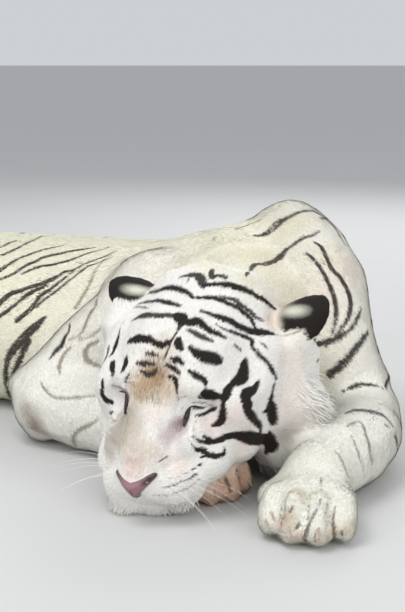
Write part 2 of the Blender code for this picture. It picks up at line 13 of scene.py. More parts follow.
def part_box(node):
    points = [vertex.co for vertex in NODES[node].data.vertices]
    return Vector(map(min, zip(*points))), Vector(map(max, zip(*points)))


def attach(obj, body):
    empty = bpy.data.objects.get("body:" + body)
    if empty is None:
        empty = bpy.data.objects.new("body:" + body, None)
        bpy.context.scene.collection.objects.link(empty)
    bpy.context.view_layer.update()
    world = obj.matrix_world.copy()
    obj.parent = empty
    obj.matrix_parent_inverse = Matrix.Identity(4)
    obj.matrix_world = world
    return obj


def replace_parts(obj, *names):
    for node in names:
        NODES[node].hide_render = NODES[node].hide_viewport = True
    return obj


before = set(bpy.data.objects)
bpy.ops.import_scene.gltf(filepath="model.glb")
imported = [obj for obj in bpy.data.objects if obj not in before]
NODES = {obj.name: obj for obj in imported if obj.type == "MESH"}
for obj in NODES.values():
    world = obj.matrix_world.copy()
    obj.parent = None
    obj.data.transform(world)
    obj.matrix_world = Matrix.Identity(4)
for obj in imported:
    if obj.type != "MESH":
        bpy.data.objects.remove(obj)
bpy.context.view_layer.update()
chance = np.random.default_rng(7)

# ---- the head's own frame: +X its left, -Y the nose, +Z the crown ------------------------------
HEAD = (
    Matrix.Translation((0.034, -0.258, 0.138))
    @ Matrix.Rotation(math.radians(-24.0), 4, "Z")
    @ Matrix.Rotation(math.radians(27.5), 4, "X")
    @ Matrix.Rotation(math.radians(6.0), 4, "Y")
)
MUZZLE_TWIST = -11.0  # degrees by which the muzzle is turned against the rest of the head
NOSE_TIP = (0, -0.335, 0.095)
SKULL_MIDDLE = (0, -0.05, 0.08)

# ---- the coat, part by part --------------------------------------------------------------------
# length and width of a tuft, how far the coat stands off the skin, all in mm, and tufts to the cm2
COAT = {
    "head": (8.0, 1.5, 2.0, 28.0),
    "ear": (3.4, 1.0, 0.4, 70.0),
    "neck": (11.5, 1.9, 4.0, 21.0),
    "chest": (10.0, 1.9, 3.8, 23.0),
    "loin": (10.5, 1.9, 4.0, 20.0),
    "tail": (11.0, 2.0, 3.0, 18.0),
    "upper_arm": (9.5, 1.9, 3.4, 23.0),
    "thigh": (9.5, 1.8, 3.6, 20.0),
    "forearm": (9.5, 1.9, 2.6, 25.0),
    "shank": (9.0, 1.9, 3.0, 20.0),
    "forepaw": (7.5, 1.6, 1.8, 26.0),
    "hindpaw": (8.5, 1.9, 1.8, 18.0),
}
TUFT_LENGTH, TUFT_WIDTH, COAT_DEPTH, TUFTS_TO_CM2 = range(4)  # their places in each row
RIBBED = ("head", "ear", "forepaw", "hindpaw")  # where the tufts are leaves with a raised rib
# each ear in the head frame: its root, the way it is held out, the way its back faces, and its length
EARS = {
    "ear_left": ((0.100, -0.032, 0.166), (0.90, 0.22, 0.32), (0.05, -0.42, 0.90), 0.101),
    "ear_right": ((-0.092, -0.034, 0.166), (-0.92, 0.32, -0.04), (-0.10, -0.40, 0.90), 0.092),
}
EAR_HALF_WIDTH, EAR_HALF_THICK = 0.038, 0.0068
# each paw: where its heel is, the heading of its toes in degrees from -Y towards +X, and its size
PAWS = (
    ((0.158, -0.562, 0.026), -12.0, 1.08),
    ((-0.012, -0.408, 0.022), 28.0, 1.01),
    ((-0.640, -0.075, 0.022), 62.0, 0.92),
    ((-0.560, 0.610, 0.022), 96.0, 0.92),
)
FORE_PAWS = PAWS[:2]
TOE_GAPS = (-0.0315, -0.0005, 0.0305)  # how far across the paw each cleft between two toes starts
# the nodes of the tail and of each limb in order, which give the way the hair lies on them
CHAINS = (
    ("loin", "tail_1", "tail_2", "tail_3", "tail_4"),
    ("chest", "upper_arm_left", "forearm_left", "forepaw_left"),
    ("chest", "upper_arm_right", "forearm_right", "forepaw_right"),
    ("loin", "thigh_left", "shank_left", "hindpaw_left"),
    ("loin", "thigh_right", "shank_right", "hindpaw_right"),
)
FLESH = [name for name in NODES if not name.startswith(("claw", "eye", "nose"))]

# ---- the skin's mesh ---------------------------------------------------------------------------
SWELL = 0.0012  # how far each node is swollen to close the cuts between them
VOXEL = 0.0042
SHARE_KEPT = 0.32  # of the faces, once the plainer parts are thinned
LOWEST_SKIN = 0.0015  # heights over the floor
LOWEST_WHISKER = 0.0016
LOWEST_HAIR = 0.0006

# ---- colours -----------------------------------------------------------------------------------
CREAM = (0.76, 0.74, 0.585)
IVORY = (0.70, 0.66, 0.50)
BRIGHT = (0.80, 0.78, 0.735)
WHITE = (0.84, 0.825, 0.755)
DARK = (0.016, 0.011, 0.009)
ARM_TONE = (0.83, 0.805, 0.72)
LEFT_PAW_TONE = (0.80, 0.785, 0.70)
RIGHT_PAW_TONE = (0.66, 0.45, 0.33)
EAR_SPOT = (0.66, 0.65, 0.54)
EAR_LINING = (0.66, 0.55, 0.47)
NOSE_PINK = (0.29, 0.155, 0.17)
NOSE_RIM = (0.10, 0.055, 0.06)


# ---- shader maths ------------------------------------------------------------------------------
class Flow:
    """A shader socket that takes + - * / with numbers and with other sockets."""

    def __init__(self, tree, socket):
        self.tree = tree
        self.socket = socket

    def node(self, kind, settings=None, **values):
        """A node of this kind, its settings made first and then its sockets' values or links."""
        made = self.tree.nodes.new(kind)
        for key, value in (settings or {}).items():
            setattr(made, key, value)
        for key, value in values.items():
            name = key.replace("_", " ")
            slot = made.inputs[int(key[1:])] if key[1:].isdigit() else made.inputs[name]
            if isinstance(value, Flow):
                self.tree.links.new(value.socket, slot)
            else:
                slot.default_value = value
        return made

    def out(self, made, name=0):
        return Flow(self.tree, made.outputs[name])

    def maths(self, operation, one, two):
        return self.out(self.node("ShaderNodeMath", {"operation": operation}, i0=one, i1=two))

    def __add__(self, other):
        return self.maths("ADD", self, other)

    def __sub__(self, other):
        return self.maths("SUBTRACT", self, other)

    def __mul__(self, other):
        return self.maths("MULTIPLY", self, other)

    def __rsub__(self, other):
        return self.maths("SUBTRACT", other, self)

    def __truediv__(self, other):
        return self.maths("DIVIDE", self, other)

    __radd__ = __add__
    __rmul__ = __mul__


def finish_of(name, roughness, **constants):
    """A new material: its Principled shader, a Flow to build on and its Object coordinates."""
    made = bpy.data.materials.new(name)
    made.use_nodes = True
    shader = made.node_tree.nodes["Principled BSDF"]
    shader.inputs["Roughness"].default_value = roughness
    for key, value in constants.items():
        shader.inputs[key.replace("_", " ")].default_value = value
    flow = Flow(made.node_tree, None)
    place = flow.out(flow.node("ShaderNodeTexCoord"), "Object")
    return made, shader, flow, place


def noise(flow, place, scale, detail=3.0):
    made = flow.node("ShaderNodeTexNoise", Vector=place, Scale=scale, Detail=detail, Roughness=0.55)
    return flow.out(made)


def mixed(flow, factor, one, two, blend="MIX"):
    made = flow.node("ShaderNodeMix", {"data_type": "RGBA", "blend_type": blend}, i0=factor, i6=one, i7=two)
    return flow.out(made, 2)


def bump(flow, shader, height, strength, distance):
    made = flow.node("ShaderNodeBump", Height=height, Strength=strength, Distance=distance)
    flow.tree.links.new(made.outputs[0], shader.inputs["Normal"])


def own_hue(flow, shader, shade):
    """The colour that each vertex carries, made lighter and darker by the shade."""
    hue = flow.out(flow.node("ShaderNodeAttribute", {"attribute_name": "hue"}), "Color")
    grey = flow.out(flow.node("ShaderNodeCombineColor", Red=shade, Green=shade, Blue=shade))
    flow.tree.links.new(mixed(flow, 1.0, hue, grey, "MULTIPLY").socket, shader.inputs["Base Color"])


def coat_finish():
    """Hair: each tuft carries its own colour, broken up finely, with the soft sheen of a dry coat."""
    made, shader, flow, place = finish_of(
        "coat", 0.66, Specular_IOR_Level=0.22, Sheen_Weight=0.05, Sheen_Roughness=0.5
    )
    own_hue(flow, shader, noise(flow, place, 420.0, 2.0) * 0.3 + 0.85)
    bump(flow, shader, noise(flow, place, 700.0, 1.0), 0.25, 0.001)
    return made


def skin_finish():
    """The under-coat and bare skin: the same colours as the tufts, with fine hair relief."""
    made, shader, flow, place = finish_of("skin", 0.75, Specular_IOR_Level=0.25)
    own_hue(flow, shader, noise(flow, place, 260.0) * 0.35 + 0.78)
    bump(flow, shader, noise(flow, place, 520.0, 4.0), 0.5, 0.0012)
    return made


# ---- shaping tools -----------------------------------------------------------------------------
def object_of(name, bm, finish):
    """A linked, smooth-shaded object that holds the bmesh, which is freed."""
    mesh = bpy.data.meshes.new(name)
    bm.to_mesh(mesh)
    bm.free()
    mesh.shade_smooth()
    mesh.materials.append(finish)
    obj = bpy.data.objects.new(name, mesh)
    bpy.context.scene.collection.objects.link(obj)
    return obj


def centre_of(node):
    """The middle of a node's box."""
    low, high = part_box(node)
    return (Vector(low) + Vector(high)) / 2


def ear_frame(name):
    """An ear's root, the way it is held out, the way its back faces square to that, and its length."""
    root, axis, back, length = EARS[name]
    axis = Vector(axis).normalized()
    back = Vector(back)
    back = (back - axis * back.dot(axis)).normalized()
    return root, axis, back, length


def ear_shape(name):
    """A round cupped ear with a thick soft rim, bent to the ear node's own curve."""
    root, axis, back, length = ear_frame(name)
    bm = bmesh.new()
    bmesh.ops.create_uvsphere(bm, u_segments=48, v_segments=32, radius=1.0)
    for vert in bm.verts:
        x, thick, y = vert.co
        taper = 0.78 + 0.22 * min(1.0, (y + 1) * 0.8)
        lift = 0.010 * y * abs(y) - 0.022 * x * x
        thick = math.copysign(abs(thick) ** 0.6, thick) * EAR_HALF_THICK
        vert.co = Vector((x * taper * EAR_HALF_WIDTH, lift + thick - 0.0065, (y + 0.80) * length / 1.8))
    turn = Matrix((back.cross(axis), back, axis)).transposed().to_4x4()
    bmesh.ops.transform(bm, matrix=HEAD @ Matrix.Translation(root) @ turn, verts=bm.verts)
    bmesh.ops.recalc_face_normals(bm, faces=bm.faces[:])
    return bm


def node_shape(name):
    """A copy of a node's mesh with its loose triangles merged."""
    bm = bmesh.new()
    bm.from_mesh(NODES[name].data)
    bmesh.ops.remove_doubles(bm, verts=bm.verts[:], dist=1e-5)
    return bm


def remeshed(names):
    """One closed mesh round these nodes, each swollen a little so that the cuts between them close."""
    bm = bmesh.new()
    for name in names:
        one = ear_shape(name) if name in EARS else node_shape(name)
        one.normal_update()
        for vert in one.verts:
            vert.co += vert.normal * SWELL
        held = bpy.data.meshes.new("held")
        one.to_mesh(held)
        one.free()
        bm.from_mesh(held)
        bpy.data.meshes.remove(held)
    obj = object_of("rough", bm, None)
    made = obj.modifiers.new("voxels", "REMESH")
    made.mode = "VOXEL"
    made.voxel_size = VOXEL
    bm = bmesh.new()
    bm.from_object(obj, bpy.context.evaluated_depsgraph_get())
    bpy.data.objects.remove(obj)
    keep_largest(bm)
    return bm


def tree_of(points):
    """The points as a tree to search by distance."""
    tree = KDTree(len(points))
    for number, point in enumerate(points):
        tree.insert(point, number)
    tree.balance()
    return tree


def keep_largest(bm):
    """Removes all but the largest connected body."""
    left = set(bm.verts)
    bodies = []
    while left:
        start = left.pop()
        body = {start}
        edge_of_search = [start]
        while edge_of_search:
            for link in edge_of_search.pop().link_edges:
                for vert in link.verts:
                    if vert in left:
                        left.discard(vert)
                        body.add(vert)
                        edge_of_search.append(vert)
        bodies.append(body)
    bodies.sort(key=len)
    for body in bodies[:-1]:
        bmesh.ops.delete(bm, geom=list(body), context="VERTS")


def points_of(bm):
    return np.array([vert.co for vert in bm.verts])


def set_points(bm, points):
    for vert, point in zip(bm.verts, points):
        vert.co = point
    bm.normal_update()


def normals_of(bm):
    return np.array([vert.normal for vert in bm.verts])


def pairs_of(bm):
    bm.verts.index_update()
    return np.array([[vert.index for vert in edge.verts] for edge in bm.edges])


def averaged(values, pairs, passes, share=0.5):
    """Per-vertex values spread over the mesh: each moves a share of the way to its neighbours' mean."""
    values = np.asarray(values, float)
    flat = values.reshape(len(values), -1).copy()
    count = np.bincount(pairs.ravel(), minlength=len(values)).clip(1)
    for _ in range(passes):
        for column in range(flat.shape[1]):
            one = np.bincount(pairs[:, 0], flat[pairs[:, 1], column], len(values))
            two = np.bincount(pairs[:, 1], flat[pairs[:, 0], column], len(values))
            flat[:, column] += np.ravel(share) * ((one + two) / count - flat[:, column])
    return flat.reshape(values.shape)


def near_nodes(points, names):
    """For each point, the index in names of the node whose surface is nearest."""
    verts, faces, owner = [], [], []
    for number, name in enumerate(names):
        data = NODES[name].data
        first = len(verts)
        verts += [vert.co.copy() for vert in data.vertices]
        for face in data.polygons:
            faces.append([first + i for i in face.vertices])
            owner.append(number)
    tree = BVHTree.FromPolygons(verts, faces)
    return np.array([owner[tree.find_nearest(Vector(point))[2]] for point in points])


def in_head(points):
    """World points in the head's own frame."""
    back = np.array(HEAD.inverted())
    return points @ back[:3, :3].T + back[:3, 3]


def untwisted(spot):
    """A head-frame landmark of the level head, carried to where the settled muzzle has it."""
    spot = Vector(spot)
    if spot.y < -0.20 and abs(spot.x) < 0.11:
        part = min(1.0, (-0.20 - spot.y) / 0.08)
        turn = Matrix.Rotation(math.radians(MUZZLE_TWIST) * part, 4, "Y")
        axis = Vector((0, 0, 0.08))
        spot = turn @ (spot - axis) + axis
    return HEAD @ spot


def nudged(points, where, reach, move):
    """Points near a head-frame spot, moved by a head-frame offset that fades out at reach."""
    centre = np.array(untwisted(where))
    shift = np.array(HEAD.to_3x3() @ Vector(move))
    far = np.linalg.norm(points - centre, axis=1) / reach
    return points + np.clip(1 - far**2, 0, None)[:, None] ** 2 * shift


# ---- the skin ----------------------------------------------------------------------------------
def kind_of(name):
    """The kind of coat that a node has."""
    for kind in COAT:
        if name.startswith(kind):
            return kind
    return "head"


def thinned(bm, keep):
    """Thins the mesh, and leaves the vertices where keep is 1 as they are."""
    obj = object_of("thick", bm, None)
    group = obj.vertex_groups.new(name="thin")
    for number, value in enumerate(keep):
        group.add([number], float(1 - value), "REPLACE")
    made = obj.modifiers.new("thin", "DECIMATE")
    made.vertex_group = "thin"
    made.ratio = SHARE_KEPT
    bm = bmesh.new()
    bm.from_object(obj, bpy.context.evaluated_depsgraph_get())
    bpy.data.objects.remove(obj)
    return bm


def skin_shape():
    """The skin's mesh, smoothed over the joins, with finer faces on the head and paws."""
    bm = remeshed(FLESH + ["eye_left", "eye_right", "nose"])
    fine = np.array([kind_of(name) in ("head", "ear", "forepaw") for name in FLESH]) * 1.0
    keep = averaged(fine[near_nodes(points_of(bm), FLESH)], pairs_of(bm), 4)
    bm = thinned(bm, keep)
    soft = {"head": 0.25, "ear": 0.25, "forepaw": 0.2, "hindpaw": 0.3, "tail": 0.4, "shank": 0.5}
    soft = np.array([soft.get(kind_of(name), 0.75) for name in FLESH])
    pairs = pairs_of(bm)
    points = points_of(bm)
    share = averaged(soft[near_nodes(points, FLESH)], pairs, 3)
    for paw in FORE_PAWS:
        points = softened_wrist(points, pairs, np.array(paw_place(*paw) @ Vector((0, 0.045, 0.045))))
    set_points(bm, averaged(points, pairs, 16, share[:, None]))
    finer_face(bm)
    return bm


def softened_wrist(points, pairs, wrist):
    """The points near a wrist, smoothed so that the arm runs into the paw without a step."""
    far = np.linalg.norm(points - wrist, axis=1)
    near = np.flatnonzero(far < 0.09)
    held = np.zeros(len(points))
    held[near] = np.clip(2 - far[near] / 0.045, 0, 1)
    return averaged(points, pairs, 60, held[:, None] * 0.9)


def finer_face(bm):
    """Divides the faces of the front of the head once more."""
    to_head = HEAD.inverted()
    front = {v for v in bm.verts if (to_head @ v.co).y < -0.17 and (to_head @ v.co).z > -0.02}
    low, high = (Vector(corner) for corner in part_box("head"))
    front = {v for v in front if all(low[k] <= v.co[k] <= high[k] for k in range(3))}
    edges = [e for e in bm.edges if e.verts[0] in front and e.verts[1] in front]
    bmesh.ops.subdivide_edges(bm, edges=edges, cuts=1)
    bmesh.ops.triangulate(bm, faces=bm.faces[:])
    set_points(bm, averaged(points_of(bm), pairs_of(bm), 1, 0.3))


def paw_place(heel, heading, size):
    """Paw frame to body frame: in the paw, -Y points to the toes and +X to the tiger's left."""
    turn = Matrix.Rotation(math.radians(heading), 4, "Z")
    return Matrix.Translation(heel) @ turn @ Matrix.Scale(size, 4)


def toe_gaps(surface):
    """The clefts between the toes of each paw, as paths of (place, reach, depth)."""
    for heel, heading, size in PAWS:
        place = paw_place(heel, heading, size)
        for across in TOE_GAPS:
            path = []
            for step in range(16):
                ahead = 0.036 + 0.0045 * min(step, 12)
                high = 0.066 - 0.0034 * step
                near = place @ Vector((across * (1 + 2.2 * ahead), -ahead, high))
                spot = surface.tree.find_nearest(near)[0]
                path.append((spot, 0.0030, 0.0050 * min(1.0, 0.1 + step / 6)))
            yield path


def toe_lines(surface):
    """Dark lines of painted shade in the fur low down in the clefts between the toes of the fore paws."""
    for path in list(toe_gaps(surface))[: len(FORE_PAWS) * len(TOE_GAPS)]:
        yield "cleft", [(spot, 0.0009 + depth * 0.12) for spot, _, depth in path[9:]]


def fold_paths(surface):
    """Every crease as a path of (place, reach, depth), smooth between its stops."""
    other_side = tuple(tuple((-a, *rest) for a, *rest in stops) for stops in PAIRED_FOLDS)
    for stops in FOLDS + PAIRED_FOLDS + other_side:
        placed = [(surface.on_face(a, b), reach, depth) for a, b, reach, depth in stops]
        placed = [stop for stop in placed if stop[0]]
        reaches = curved([(spot, reach / 1000) for spot, reach, _ in placed])
        depths = curved([(spot, depth / 1000) for spot, _, depth in placed])
        yield [(spot, reach, depth) for (spot, reach), (_, depth) in zip(reaches, depths)]
    yield from toe_gaps(surface)


def creased(points, normals, paths):
    """Presses the creases into the points."""
    tree = tree_of(points)
    sink = np.zeros(len(points))
    for path in paths:
        for spot, reach, depth in path:
            for _, number, far in tree.find_range(spot, reach * 2):
                sink[number] = max(sink[number], depth * math.exp(-((far / reach) ** 2)))
    return points - normals * sink[:, None]


def sculpted(bm):
    """Draws in the skin by the coat's depth and presses in its creases. Returns each vertex's part."""
    points = points_of(bm)
    pairs = pairs_of(bm)
    part = near_nodes(points, FLESH)
    depth = np.array([COAT[kind_of(name)][COAT_DEPTH] / 1000 for name in FLESH])[part]
    depth = averaged(depth, pairs, 8)
    points = points - normals_of(bm) * depth[:, None]
    for side in (1, -1):
        points = nudged(points, (side * 0.057, -0.233, 0.147), 0.020, (-side * 0.002, 0.005, -0.003))
    set_points(bm, points)
    points = creased(points, normals_of(bm), fold_paths(Surface(bm)))
    points[:, 2] = np.maximum(points[:, 2], LOWEST_SKIN)
    set_points(bm, points)
    return part


# ---- the lie of the coat -----------------------------------------------------------------------
def lie_of_coat(points, normals, part, pairs):
    """The way the hair points at each vertex: back from the nose, along the trunk, down the limbs."""
    toward = {}
    for chain in CHAINS:
        middles = [centre_of(name) for name in chain]
        for i, name in enumerate(chain[1:], 1):
            after = middles[min(i + 1, len(chain) - 1)]
            toward[name] = (after - middles[i - 1]).normalized()
    spine = (centre_of("loin") - centre_of("chest")).normalized()
    toward["chest"] = toward["loin"] = spine + Vector((0, 0, -0.25))
    lies = np.array([toward.get(name, Vector((0, 0, 0))) for name in FLESH])[part]
    nose = np.array(untwisted(NOSE_TIP))
    for number, name in enumerate(FLESH):
        mine = part == number
        if kind_of(name) in ("head", "neck"):
            lies[mine] = points[mine] - nose
        if kind_of(name) == "ear":
            lies[mine] = points[mine] - np.array(HEAD @ Vector(SKULL_MIDDLE))
    lies = flattened(lies, normals)
    lies = averaged(lies, pairs, 14)
    return flattened(lies, normals)


def flattened(vectors, normals):
    """Vectors laid in the surface, at unit length."""
    vectors = vectors - (vectors * normals).sum(1)[:, None] * normals
    return vectors / np.linalg.norm(vectors, axis=1)[:, None].clip(1e-9)


# ---- markings ----------------------------------------------------------------------------------
# A stripe is a tone and its stops (across, along, half width in about mm). On the face, across is cm to
# the tiger's left and along is cm up the slope of the face from eye level. On the body they are cm along
# +X and above the floor, seen from the front.
FACE_STRIPES = (
    # arcs over the brow
    ("black", ((-10.5, 9.8, 1.5), (-7.5, 10.3, 3), (-4.7, 11.1, 4.5), (-2, 10.8, 4), (0, 10, 3))),
    ("black", ((-11.5, 7.6, 1), (-10, 8.3, 2), (-6.6, 8.6, 3.2), (-3.9, 8.6, 4), (-1.2, 8.3, 2))),
    ("brown", ((-11.5, 7.2, 1), (-10.8, 7.5, 1.8), (-8.6, 7.4, 1.6), (-7, 7.2, 1))),
    ("brown", (
        (-9.5, 5, 1.5), (-8.2, 5.8, 4.5), (-6.4, 6, 5.5), (-4.7, 6.2, 5), (-2, 6.6, 4),
        (-0.5, 6.6, 5.5),
    )),
    ("black", ((-1, 6.8, 5), (0.1, 6.4, 8), (0.7, 5.7, 3))),
    ("black", (
        (0.8, 5.6, 3), (1.6, 6, 5), (2.5, 6.4, 6), (3.3, 6, 5), (4.6, 5.4, 4), (5.6, 5.2, 4),
        (6.9, 4.8, 1.5),
    )),
    ("brown", ((1.7, 4.9, 2), (3, 4.5, 4), (4.2, 4.2, 4), (5.6, 3.9, 1.5))),
    ("black", ((-7.6, 1.7, 3.5), (-6, 2.2, 6), (-4.6, 2.4, 5.5), (-3.2, 2.3, 4.5), (-2, 2, 3.5))),
    ("black", ((-2, 2, 3.5), (-1.2, 1.9, 5), (-0.4, 2.5, 3.5), (0.1, 3.3, 1))),
    ("black", ((0.9, 3.4, 3), (1.2, 2.6, 5.5), (1.8, 1.9, 3.5))),
    ("brown", ((0.4, 5.4, 4), (0.3, 4.2, 2), (0.1, 3.2, 2), (0, 2, 1.5), (-0.1, 0.5, 2), (-0.3, -0.3, 1))),
    # brow ticks
    ("black", ((-6.9, -1.0, 4), (-6.7, -1.8, 6.5), (-6.5, -2.8, 4))),
    ("brown", ((-3.4, 0.3, 1.5), (-2.3, 0.4, 3), (-1.2, 0.3, 1.5))),
    ("brown", ((-4.4, -1.3, 2), (-3, -1.2, 4), (-1.5, -1, 2.5))),
    ("brown", ((-3.2, -2.3, 2), (-1.7, -2.6, 4), (-0.8, -1.7, 2))),
    ("brown", ((-4.9, -3.1, 2), (-5.1, -4.2, 2))),
    ("black", ((0.9, 0.2, 2), (1.8, 0.2, 4.5), (2.8, -0.2, 2))),
    ("black", ((0.3, -0.7, 1.5), (1.5, -1, 3.5), (2.6, -1.6, 2))),
    ("black", ((1.2, -2.3, 2), (2.2, -2.5, 3.5), (2.9, -3.8, 2), (3.3, -5.4, 1))),
    # the tiger's left cheek
    ("black", ((2.9, 2.4, 2.5), (4, 1.8, 5), (5.3, 1.5, 7.5), (6.4, 1.5, 7.5), (7, 1.4, 5))),
    ("black", ((3.8, -1, 2.5), (4.9, -1.5, 4.5), (6, -1.9, 4.5), (6.3, -2.7, 1.5))),
    ("black", ((6, -4.3, 2), (6.8, -3.7, 6), (7.6, -3.7, 5.5), (8.4, -3.6, 3))),
    ("brown", ((8.2, 4.1, 2.5), (8.9, 3.5, 2))),
    ("black", ((9.8, 2.4, 2.5), (9.9, 1.2, 6.5), (10.1, 0, 8.5), (9.8, -1, 7), (9.2, -1.6, 3))),
    ("black", ((9.2, -1.6, 3), (9, -2.6, 5.5), (9, -3.4, 5.5), (8.8, -4.2, 3))),
    ("black", ((8.9, -4.2, 2.5), (9.1, -5.4, 4), (9.2, -6.6, 5.5), (8.8, -7.4, 4.5), (8, -7.9, 2))),
    ("black", (
        (12.1, -0.3, 2), (11.9, -1.6, 5), (11.4, -2.7, 8), (11.9, -4, 8.5), (12.3, -5.3, 7),
        (12.6, -6.6, 5), (12.8, -7.9, 2.5),
    )),
    ("black", (
        (6.3, -10, 1.5), (7.1, -10.4, 2.5), (8.1, -10.4, 3), (9.1, -9.8, 3.5), (10, -9, 4.5),
        (11, -8.6, 6), (12, -8.7, 8), (13, -8.6, 7),
    )),
    ("black", ((13, -8.6, 7), (13.3, -9.5, 5), (12.8, -10.6, 2.5))),
    ("black", ((6.1, -10.7, 1.2), (6.9, -11.6, 2.5), (7.7, -11.6, 3.2), (8.5, -12.1, 4), (9.5, -12.1, 3.5))),
    ("black", ((9.5, -12.1, 3.2), (10.2, -11.5, 2.6), (10, -10.8, 2.0))),
    ("black", ((7.3, -9.6, 1.5), (7.9, -9.9, 3), (8.5, -10, 2))),
    ("black", ((5.6, -7, 1.5), (6.6, -6.6, 2.5), (7.9, -5.5, 3))),
    ("brown", ((5.2, -6, 2), (6, -5.8, 2), (7, -5.4, 1))),
    ("black", (
        (13.9, -0.2, 1.5), (13.8, -1.6, 3), (13.6, -2.8, 4), (13.6, -3.8, 8), (13.7, -4.8, 8),
        (13.9, -5.8, 5),
    )),
    ("black", ((12.9, -4.6, 2), (13.5, -4, 5))),
    ("black", ((13.5, -7.4, 3), (13.6, -8.4, 7), (13.7, -9.3, 9), (13.6, -10, 5))),
    # crown, and the fans towards the left ear
    ("brown", ((-4.2, 12.9, 1.5), (-2.6, 13.6, 4.5), (-1.2, 13.7, 6), (-0.2, 12.9, 6), (0.4, 12, 3))),
    ("brown", ((0.3, 15, 3), (0.9, 13.9, 4), (1.6, 14.3, 3), (3, 14.2, 3))),
    ("black", (
        (0.4, 12.4, 3), (2.3, 12.9, 3.5), (4, 13.1, 5), (5.5, 13, 5), (7, 12.7, 4), (8.4, 12.2, 4),
        (10, 11.3, 4),
    )),
    ("black", (
        (0.6, 10.1, 3), (2.6, 10.6, 4), (3.9, 10.4, 4), (5.2, 10.1, 3.5), (6.4, 9.8, 3.5),
        (7.4, 9.2, 3.5), (8.2, 8.7, 3.5), (9.4, 7.3, 1.5),
    )),
    ("brown", (
        (3.1, 11.2, 1), (4.2, 11, 2.5), (5.5, 10.9, 3.5), (6.8, 10.3, 3), (7.9, 9.7, 3), (8.9, 9, 2.5),
        (9.8, 8.8, 1.5),
    )),
    ("black", (
        (2.2, 8.1, 2.5), (3.9, 7.9, 3.5), (5.3, 7.7, 5), (6.7, 7.4, 5.5), (8.1, 6.9, 5), (9.3, 6.8, 5),
        (10.4, 7, 6), (11.8, 7.1, 2),
    )),
    ("faint", ((11.8, 7.1, 1.5), (13.2, 7.4, 1.5), (14.4, 7.9, 1.5), (15.3, 8.5, 1.5))),
    ("black", (
        (4.9, 6.6, 1), (6.2, 6.1, 2), (7.4, 5.9, 3), (8.7, 5.7, 3.5), (9.6, 5.4, 3.5), (10, 4.5, 2),
        (10.9, 3.8, 3), (11.6, 3.2, 3), (12.6, 2.6, 3), (13.4, 1.6, 3.5), (14, 0.5, 2),
    )),
    ("brown", ((11, 5.3, 1.5), (12, 4.7, 2))),
    # the tiger's right cheek
    ("black", ((-11, 4.6, 1), (-11, 2.9, 1.5), (-10.9, 0.8, 5), (-11, -0.8, 4))),
    ("black", ((-9.6, -1.9, 4), (-9.2, -2.7, 4.5))),
    ("black", ((-9, -3, 3), (-8.6, -3.6, 3.5))),
    ("brown", ((-12.3, 0.5, 2), (-12.2, -1.5, 2.5), (-11.8, -3.5, 2))),
    ("black", ((-10.3, -4.6, 2), (-10, -5.6, 3), (-9.9, -6.8, 3.5), (-9.1, -7.5, 4), (-8.2, -7.6, 3))),
    ("brown", ((-8.5, -9.3, 2), (-7.9, -9, 2))),
    ("brown", ((-8.1, -10.3, 1.5), (-7.2, -9.9, 1.5))),
    ("brown", ((-8.5, -11.3, 1.5), (-7.5, -10.8, 1.5))),
    # rows of whisker spots, and the dark hairs over the lip
    ("tick", ((4.3, -16.3, 0.8), (4.6, -16.2, 0.8))),
    ("tick", ((5.3, -16.0, 0.8), (5.6, -15.9, 0.9))),
    ("tick", ((6.1, -15.4, 1.0), (6.5, -15.1, 1.0))),
    ("brown", ((6.9, -14.6, 1.4), (7.3, -14.3, 1.4))),
    ("black", ((7.7, -13.8, 1.8), (7.9, -13.6, 1.6))),
    ("black", ((7.9, -12.6, 1.9), (8.1, -12.4, 1.7))),
    ("brown", (
        (3.9, -17.8, 0.9), (4.6, -17.5, 1.2), (5.3, -17.1, 1.2), (6.1, -16.4, 1.2), (6.9, -15.9, 1.2),
    )),
    ("brown", ((6.9, -15.9, 1.4), (7.6, -15.0, 1.6))),
    ("faint", ((2.4, -19.1, 0.8), (3.6, -18.9, 1.0), (4.6, -18.6, 1.0))),
    ("tick", ((4.6, -18.6, 0.9), (6.1, -17.8, 1.1), (7.1, -17.0, 1.2), (8.0, -15.7, 1.2))),
    ("brown", ((2.7, -14.4, 1.0), (3.5, -13.5, 1.3))),
    # dark rims round the right eye and the shade line down from it
    ("tick", (
        (-8.3, -5.2, 1.2), (-6.4, -5.2, 1.6), (-4.9, -5.6, 2.2), (-4.2, -6.5, 2.2), (-4.4, -7.7, 1.6),
    )),
    ("ochre", ((-3.7, -8, 1.2), (-4.8, -9.2, 1.6), (-6.4, -10.2, 1.2))),
    ("tick", ((-6.2, -10.1, 1.0), (-7.8, -10.8, 1.2), (-9.2, -11.4, 1.0))),
    ("tick", ((-7.2, -11.4, 1.0), (-8.4, -12.6, 1.0))),
    # folds of the left lids
    ("mauve", ((5.0, -5.3, 1.0), (6.4, -5.0, 1.6), (7.6, -5.2, 1.2))),
    ("ochre", ((3.4, -5.0, 1.0), (4.3, -4.6, 1.2), (5.0, -3.4, 1.0))),
    ("ochre", ((5.8, -7.8, 0.9), (6.0, -9.2, 1.2), (6.9, -10.1, 1.0))),
)
